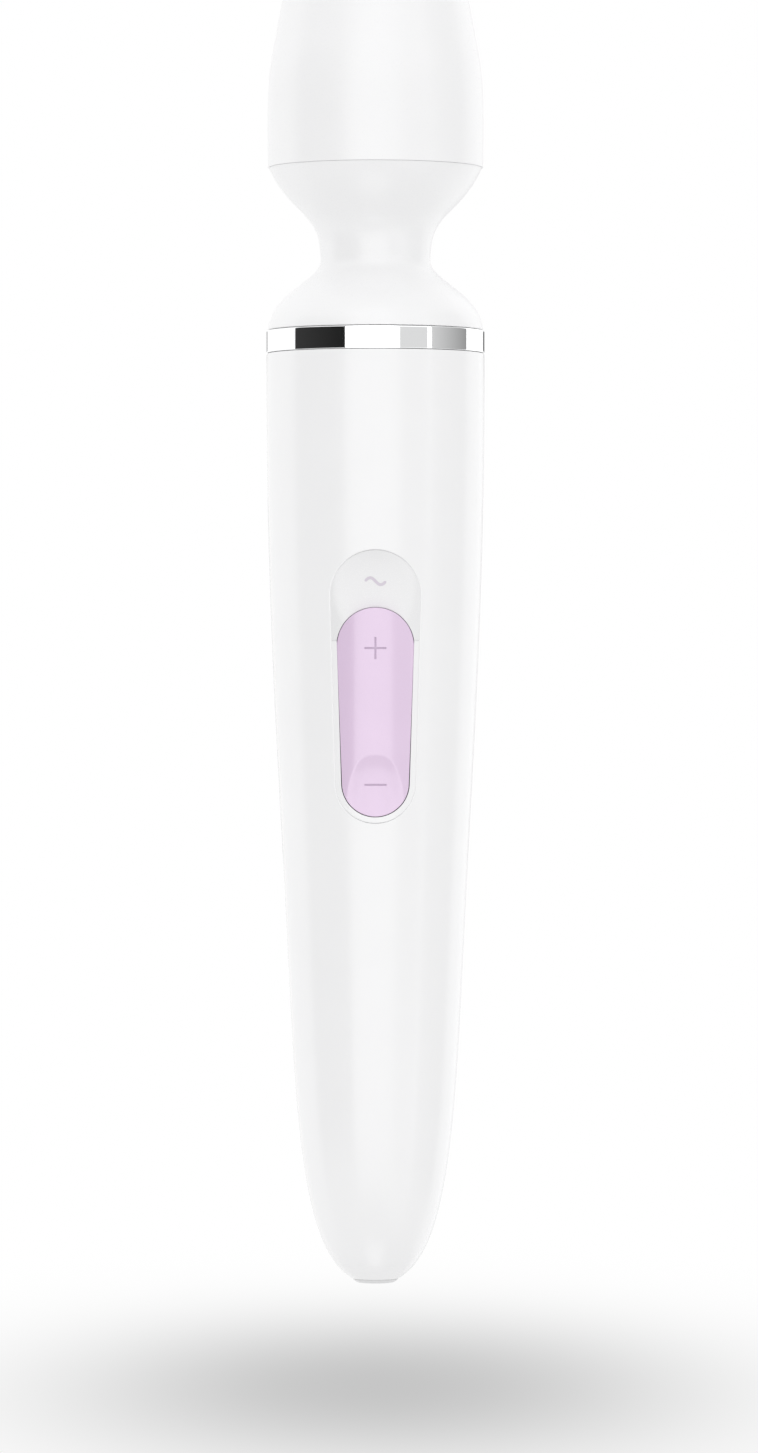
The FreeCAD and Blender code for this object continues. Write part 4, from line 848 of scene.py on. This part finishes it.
def frame_piece():
    """The frame between the handle's opening and the keys. Above the mode key's floor it lies deeper."""
    rise = RECESS[0] - RECESS[2]
    lean = (RECESS[1] - RECESS[3]) / rise
    middle_radius = RECESS[1] - FRAME_HALF_WIDTH
    step_share = (RECESS[0] - middle_radius * lean - STEP) / (rise * (1 - lean ** 2))
    sides = np.linspace(0, 1, 90)[1:-1]
    sides = sides[np.abs(sides - step_share) > 0.003]
    sides = np.sort(np.concatenate([sides, [step_share - 0.0004, step_share + 0.0004]]))
    centres, radii, ways = pill_frame(RECESS, 100, sides)
    heights = (centres + radii * ways)[:, 1]
    width = np.interp(heights, [FRAME_LOW, STEP], [FRAME_LOW_WIDTH, FRAME_HIGH_WIDTH])[:, None]
    outside_radii = radii - FRAME_GAP
    plan = np.concatenate([centres + (outside_radii - share * width) * ways for share in FRAME_INSETS])
    # The two columns of points at the step lie level, one just over the other.
    over_step = centres[:, 1] - (RECESS[0] - step_share * rise)
    rows = len(FRAME_INSETS)
    above, at_step = np.tile(over_step > 0, rows), np.tile(np.abs(over_step) < 0.001 * rise, rows)
    plan[at_step, 1] = STEP + np.where(above[at_step], 0.01, -0.01)
    faces, count = [], len(radii)
    for k in range(rows - 1):
        for j in range(count):
            following = (j + 1) % count
            low, high = k * count, (k + 1) * count
            faces.append([low + following, high + following, high + j, low + j])
    insets = np.array(FRAME_INSETS)
    depth_inside = (np.minimum(insets, 1 - insets)[:, None] * width.ravel()).ravel()

    def face(x, height):
        deep = np.maximum(follow(x, height, -FRAME_DEEP_SUNK), -FRAME_DEEP)
        return np.where(above, deep, follow(x, height, -FRAME_SUNK))

    def back(x, height):
        return np.full_like(height, -FRAME_BACK)

    points, faces = plate(plan, faces, face, back, depth_inside, FRAME_EDGE)
    return new_piece("panel_frame", points, faces, shell_white)


mount(rocker_piece(), "rocker_key", "intensity_rocker")
mount(mode_piece(), "mode_key", "mode_button")
mount(frame_piece(), "handle", "control_bezel")

# ---- chrome ring -------------------------------------------------------------------------

RING_INSIDE, RING_OUTSIDE, RING_LOW, RING_HIGH = 24.5, 27.25, 232.3, 237.9
RING_EDGES = [0.22, 0.32, 0.1, 0.1]
ring_corners = [(RING_INSIDE, RING_LOW), (RING_OUTSIDE, RING_LOW), (RING_OUTSIDE, RING_HIGH),
                (RING_INSIDE, RING_HIGH)]
ring_runs = [resample([ring_corners[k], ring_corners[(k + 1) % 4]], 0.5) for k in range(4)]
ring = new_piece("ring_band", *turn(rounded(ring_runs, RING_EDGES, 7), 256), chrome, 50)
mount(ring, "handle", "chrome_ring")

# ---- neck sleeve and head cap ------------------------------------------------------------

SLEEVE_OUTSIDE = [(26.9, 238.05), (26.5, 243.3), (18.9, 249.4), (13.4, 253.5), (13.8, 257.6),
                  (14.6, 265.4), (23.8, 272.0), (26.6, 278.66)]
SLEEVE_INSIDE = [(24.4, 278.66), (22.2, 273.6), (12.4, 267.0), (11.6, 257.6), (11.2, 253.5),
                 (17.3, 247.8), (23.5, 242.3), (22.9, 238.05)]
SLEEVE_FOOT = [(22.9, 233.2), (24.4, 233.2), (24.4, 238.05)]
SLEEVE_STEP = 0.45


def split(line, height):
    """The line's parts on each side of a height, both ending on it."""
    line = np.array(line)
    rising = line[-1, 1] > line[0, 1]
    ordered = line if rising else line[::-1]
    radius = np.interp(height, ordered[:, 1], ordered[:, 0])
    cut = np.array([[radius, height]])
    below = np.concatenate([ordered[ordered[:, 1] < height - 0.05], cut])
    above = np.concatenate([cut, ordered[ordered[:, 1] > height + 0.05]])
    return (below, above) if rising else (below[::-1], above[::-1])


out_below, out_above = split(resample(spline(SLEEVE_OUTSIDE), SLEEVE_STEP), PIVOT)
in_below, in_above = split(resample(spline(SLEEVE_INSIDE), SLEEVE_STEP), PIVOT)
foot_line = [in_below[-1], *SLEEVE_FOOT, out_below[0]]
lower_runs = [out_below, [out_below[-1], in_below[0]], in_below]
lower_runs += [[start, end] for start, end in zip(foot_line, foot_line[1:])]
upper_runs = [out_above, [out_above[-1], in_above[0]], in_above, [in_above[-1], out_above[0]]]
lower_runs = [resample(run, SLEEVE_STEP) for run in lower_runs]
upper_runs = [resample(run, SLEEVE_STEP) for run in upper_runs]
lower_section = rounded(lower_runs, [0, 0, 0, 0.1, 0.1, 0.1, 0.3])
upper_section = rounded(upper_runs, [0.07, 0.1, 0, 0])
sleeve_low = new_piece("sleeve_lower", *turn(lower_section), silicone, 50)
sleeve_high = new_piece("sleeve_upper", *turn(upper_section), silicone, 50)
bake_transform(sleeve_low)
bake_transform(sleeve_high)
for piece in (sleeve_low, sleeve_high):
    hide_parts("neck_sleeve")

CAP_OUTSIDE = [(26.9, 278.7), (27.0, 287.3), (27.2, 301.1), (25.0, 310.7), (22.6, 326.0), (17.0, 342.0),
               (0, 342.0)]
CAP_INSIDE = [(0, 339.4), (15.0, 339.4), (20.0, 325.0), (22.4, 310.4), (24.6, 301.1), (24.4, 287.3),
              (24.3, 278.7)]
cap_out, cap_in = resample(spline(CAP_OUTSIDE), 0.6), resample(spline(CAP_INSIDE), 0.9)
cap_rim = resample([cap_in[-1], cap_out[0]], 0.4)
cap_section = rounded([cap_out, [cap_out[-1], cap_in[0]], cap_in, cap_rim], [0, 0, 0.1, 0.07])
cap = new_piece("cap_skin", *turn(cap_section), silicone, 50)
mount(cap, "head", "head_cap")

# ---- stage, light and camera -------------------------------------------------------------

# From here on, sizes are in metres.
FLOOR, FLOOR_HALF = -0.116, 6.0
CAMERA_SIDE, CAMERA_HEIGHT, CAMERA_DISTANCE = 0.00088, 0.049, 1.841
SENSOR, LENS = 36.0, 182.4
CARD_RADIUS, CARD_COLUMNS, CARD_ROWS = 1.5, 24, 8
WORLD_UNDER, WORLD_OVER = 1.06, 1.38


def glow(name, strength):
    """A material that only gives off light, with its tree and its light node."""
    material, tree, shader = nodes_of(name)
    tree.nodes.remove(shader)
    light = tree.nodes.new("ShaderNodeEmission")
    light.inputs["Strength"].default_value = strength
    link(tree, light, "Emission", tree.nodes["Material Output"], "Surface")
    return material, tree, light


def stage_mesh(name, points, faces, material):
    """A mesh, in metres, that is not part of the object."""
    mesh = bpy.data.meshes.new(name)
    mesh.from_pydata(points, [], faces)
    mesh.materials.append(material)
    item = bpy.data.objects.new(name, mesh)
    bpy.context.scene.collection.objects.link(item)
    return item


def card(name, start, end, low, high, first_level, last_level=None):
    """A curved card round the wand that only glossy surfaces see.

    Angles run from the front towards +X, and upwards. Its light runs from the first level to the last.
    """
    material, tree, light = glow(name, 1.0)
    shading = tree.nodes.new("ShaderNodeVertexColor")
    shading.layer_name = "level"
    link(tree, shading, "Color", light, "Color")
    last_level = first_level if last_level is None else last_level
    points, faces, levels = [], [], []
    for k in range(CARD_COLUMNS + 1):
        a = math.radians(start + (end - start) * k / CARD_COLUMNS)
        level = first_level + (last_level - first_level) * k / CARD_COLUMNS
        for e in np.radians(np.linspace(low, high, CARD_ROWS + 1)):
            across = CARD_RADIUS * math.cos(e)
            points.append((across * math.sin(a), -across * math.cos(a), CARD_RADIUS * math.sin(e)))
            levels.append((level, level, level, 1.0))
    for k in range(CARD_COLUMNS):
        for j in range(CARD_ROWS):
            a = (CARD_ROWS + 1) * k + j
            faces.append([a, a + CARD_ROWS + 1, a + CARD_ROWS + 2, a + 1])
    item = stage_mesh(name, points, faces, material)
    layer = item.data.color_attributes.new("level", "FLOAT_COLOR", "POINT")
    layer.data.foreach_set("color", np.array(levels).ravel())
    item.visible_camera = False
    item.visible_diffuse = False
    item.visible_shadow = False
    item.visible_transmission = False


card("card_back_left", -180, -162, 8.1, 9.1, 0.45)
card("card_back_left_low", -180, -162, -35, 8.1, 1.02)
card("card_back_left_high", -180, -162, 9.1, 45, 1.02)
card("card_left", -162, -93.5, -35, 45, 1.1)
card("card_dark", -93.5, -31.8, -18, 30, 0.04, 0.015)
card("card_front", -31.8, 25.4, -26, 62, 1.95)
card("card_front_low", -31.8, 25.4, -80, -52, 1.95)
card("card_pale", 25.4, 56.5, -8, 14, 0.75)
card("card_pale_high", 25.4, 56.5, 14, 45, 1.3)
card("card_pale_low", 25.4, 56.5, -35, -8, 1.3)
card("card_stripe", 56.5, 61.2, -25, 45, 2.2)
card("card_grey", 61.2, 111.5, -20, 40, 0.66, 0.32)
card("card_right", 111.5, 158, -35, 45, 1.3)
card("card_back_right", 158, 180, 8.1, 9.1, 0.25)
card("card_back_right_low", 158, 180, -35, 8.1, 0.84)
card("card_back_right_high", 158, 180, 9.1, 45, 0.9)

material, tree, light = glow("floor_white", 1.0)
floor_corners = [(x * FLOOR_HALF, y * FLOOR_HALF, FLOOR) for x, y in ((-1, -1), (1, -1), (1, 1), (-1, 1))]
floor = stage_mesh("floor", floor_corners, [[0, 1, 2, 3]], material)
floor.visible_diffuse = False
floor.visible_glossy = False
floor.visible_shadow = False

# The soft shadow under the wand: a bell-shaped darkening of the floor, wider in depth than across.
SHADOW_SHIFT, SHADOW_ACROSS, SHADOW_DEEP = -0.0015, 0.0597, 0.158
SHADOW_DARK, SHADOW_POWER = 0.437, 2.12
coords = tree.nodes.new("ShaderNodeTexCoord")
shift = tree.nodes.new("ShaderNodeVectorMath")
shift.operation = "ADD"
shift.inputs[1].default_value = (SHADOW_SHIFT, 0.0, 0.0)
scaled = tree.nodes.new("ShaderNodeVectorMath")
scaled.operation = "MULTIPLY"
scaled.inputs[1].default_value = (1 / SHADOW_ACROSS, 1 / SHADOW_DEEP, 0)
length = tree.nodes.new("ShaderNodeVectorMath")
length.operation = "LENGTH"
link(tree, coords, "Object", shift, 0)
link(tree, shift, "Vector", scaled, 0)
link(tree, scaled, "Vector", length, 0)
chain = length
for operation, number in (("POWER", SHADOW_POWER), ("MULTIPLY", -0.5), ("EXPONENT", None),
                          ("MULTIPLY", -SHADOW_DARK), ("ADD", 1.0)):
    step = tree.nodes.new("ShaderNodeMath")
    step.operation = operation
    link(tree, chain, "Value", step, 0)
    if number is not None:
        step.inputs[1].default_value = number
    chain = step
link(tree, chain, "Value", light, "Strength")

# The camera sees a plain white backdrop. The light round the wand is a little stronger from above.
world = bpy.data.worlds.new("studio")
bpy.context.scene.world = world
world.use_nodes = True
tree = world.node_tree
backdrop = tree.nodes["Background"]
backdrop.inputs["Color"].default_value = (1, 1, 1, 1)
backdrop.inputs["Strength"].default_value = 1.0
sky = tree.nodes.new("ShaderNodeBackground")
coords = tree.nodes.new("ShaderNodeTexCoord")
separate = tree.nodes.new("ShaderNodeSeparateXYZ")
spread = tree.nodes.new("ShaderNodeMapRange")
spread.inputs["From Min"].default_value = -1
spread.inputs["From Max"].default_value = 1
spread.inputs["To Min"].default_value = WORLD_UNDER
spread.inputs["To Max"].default_value = WORLD_OVER
paths = tree.nodes.new("ShaderNodeLightPath")
mix = tree.nodes.new("ShaderNodeMixShader")
link(tree, coords, "Generated", separate, "Vector")
link(tree, separate, "Z", spread, "Value")
link(tree, spread, "Result", sky, "Strength")
link(tree, paths, "Is Camera Ray", mix, "Fac")
link(tree, sky, "Background", mix, 1)
link(tree, backdrop, "Background", mix, 2)
link(tree, mix, "Shader", tree.nodes["World Output"], "Surface")

camera_data = bpy.data.cameras.new("camera")
camera_data.sensor_fit = "VERTICAL"
camera_data.sensor_height = SENSOR
camera_data.sensor_width = SENSOR
camera_data.lens = LENS
camera = bpy.data.objects.new("camera", camera_data)
camera.location = (CAMERA_SIDE, -CAMERA_DISTANCE, CAMERA_HEIGHT)
camera.rotation_euler = (math.radians(90), 0, 0)
bpy.context.scene.collection.objects.link(camera)
bpy.context.scene.camera = camera
bpy.context.scene.view_settings.view_transform = "Standard"
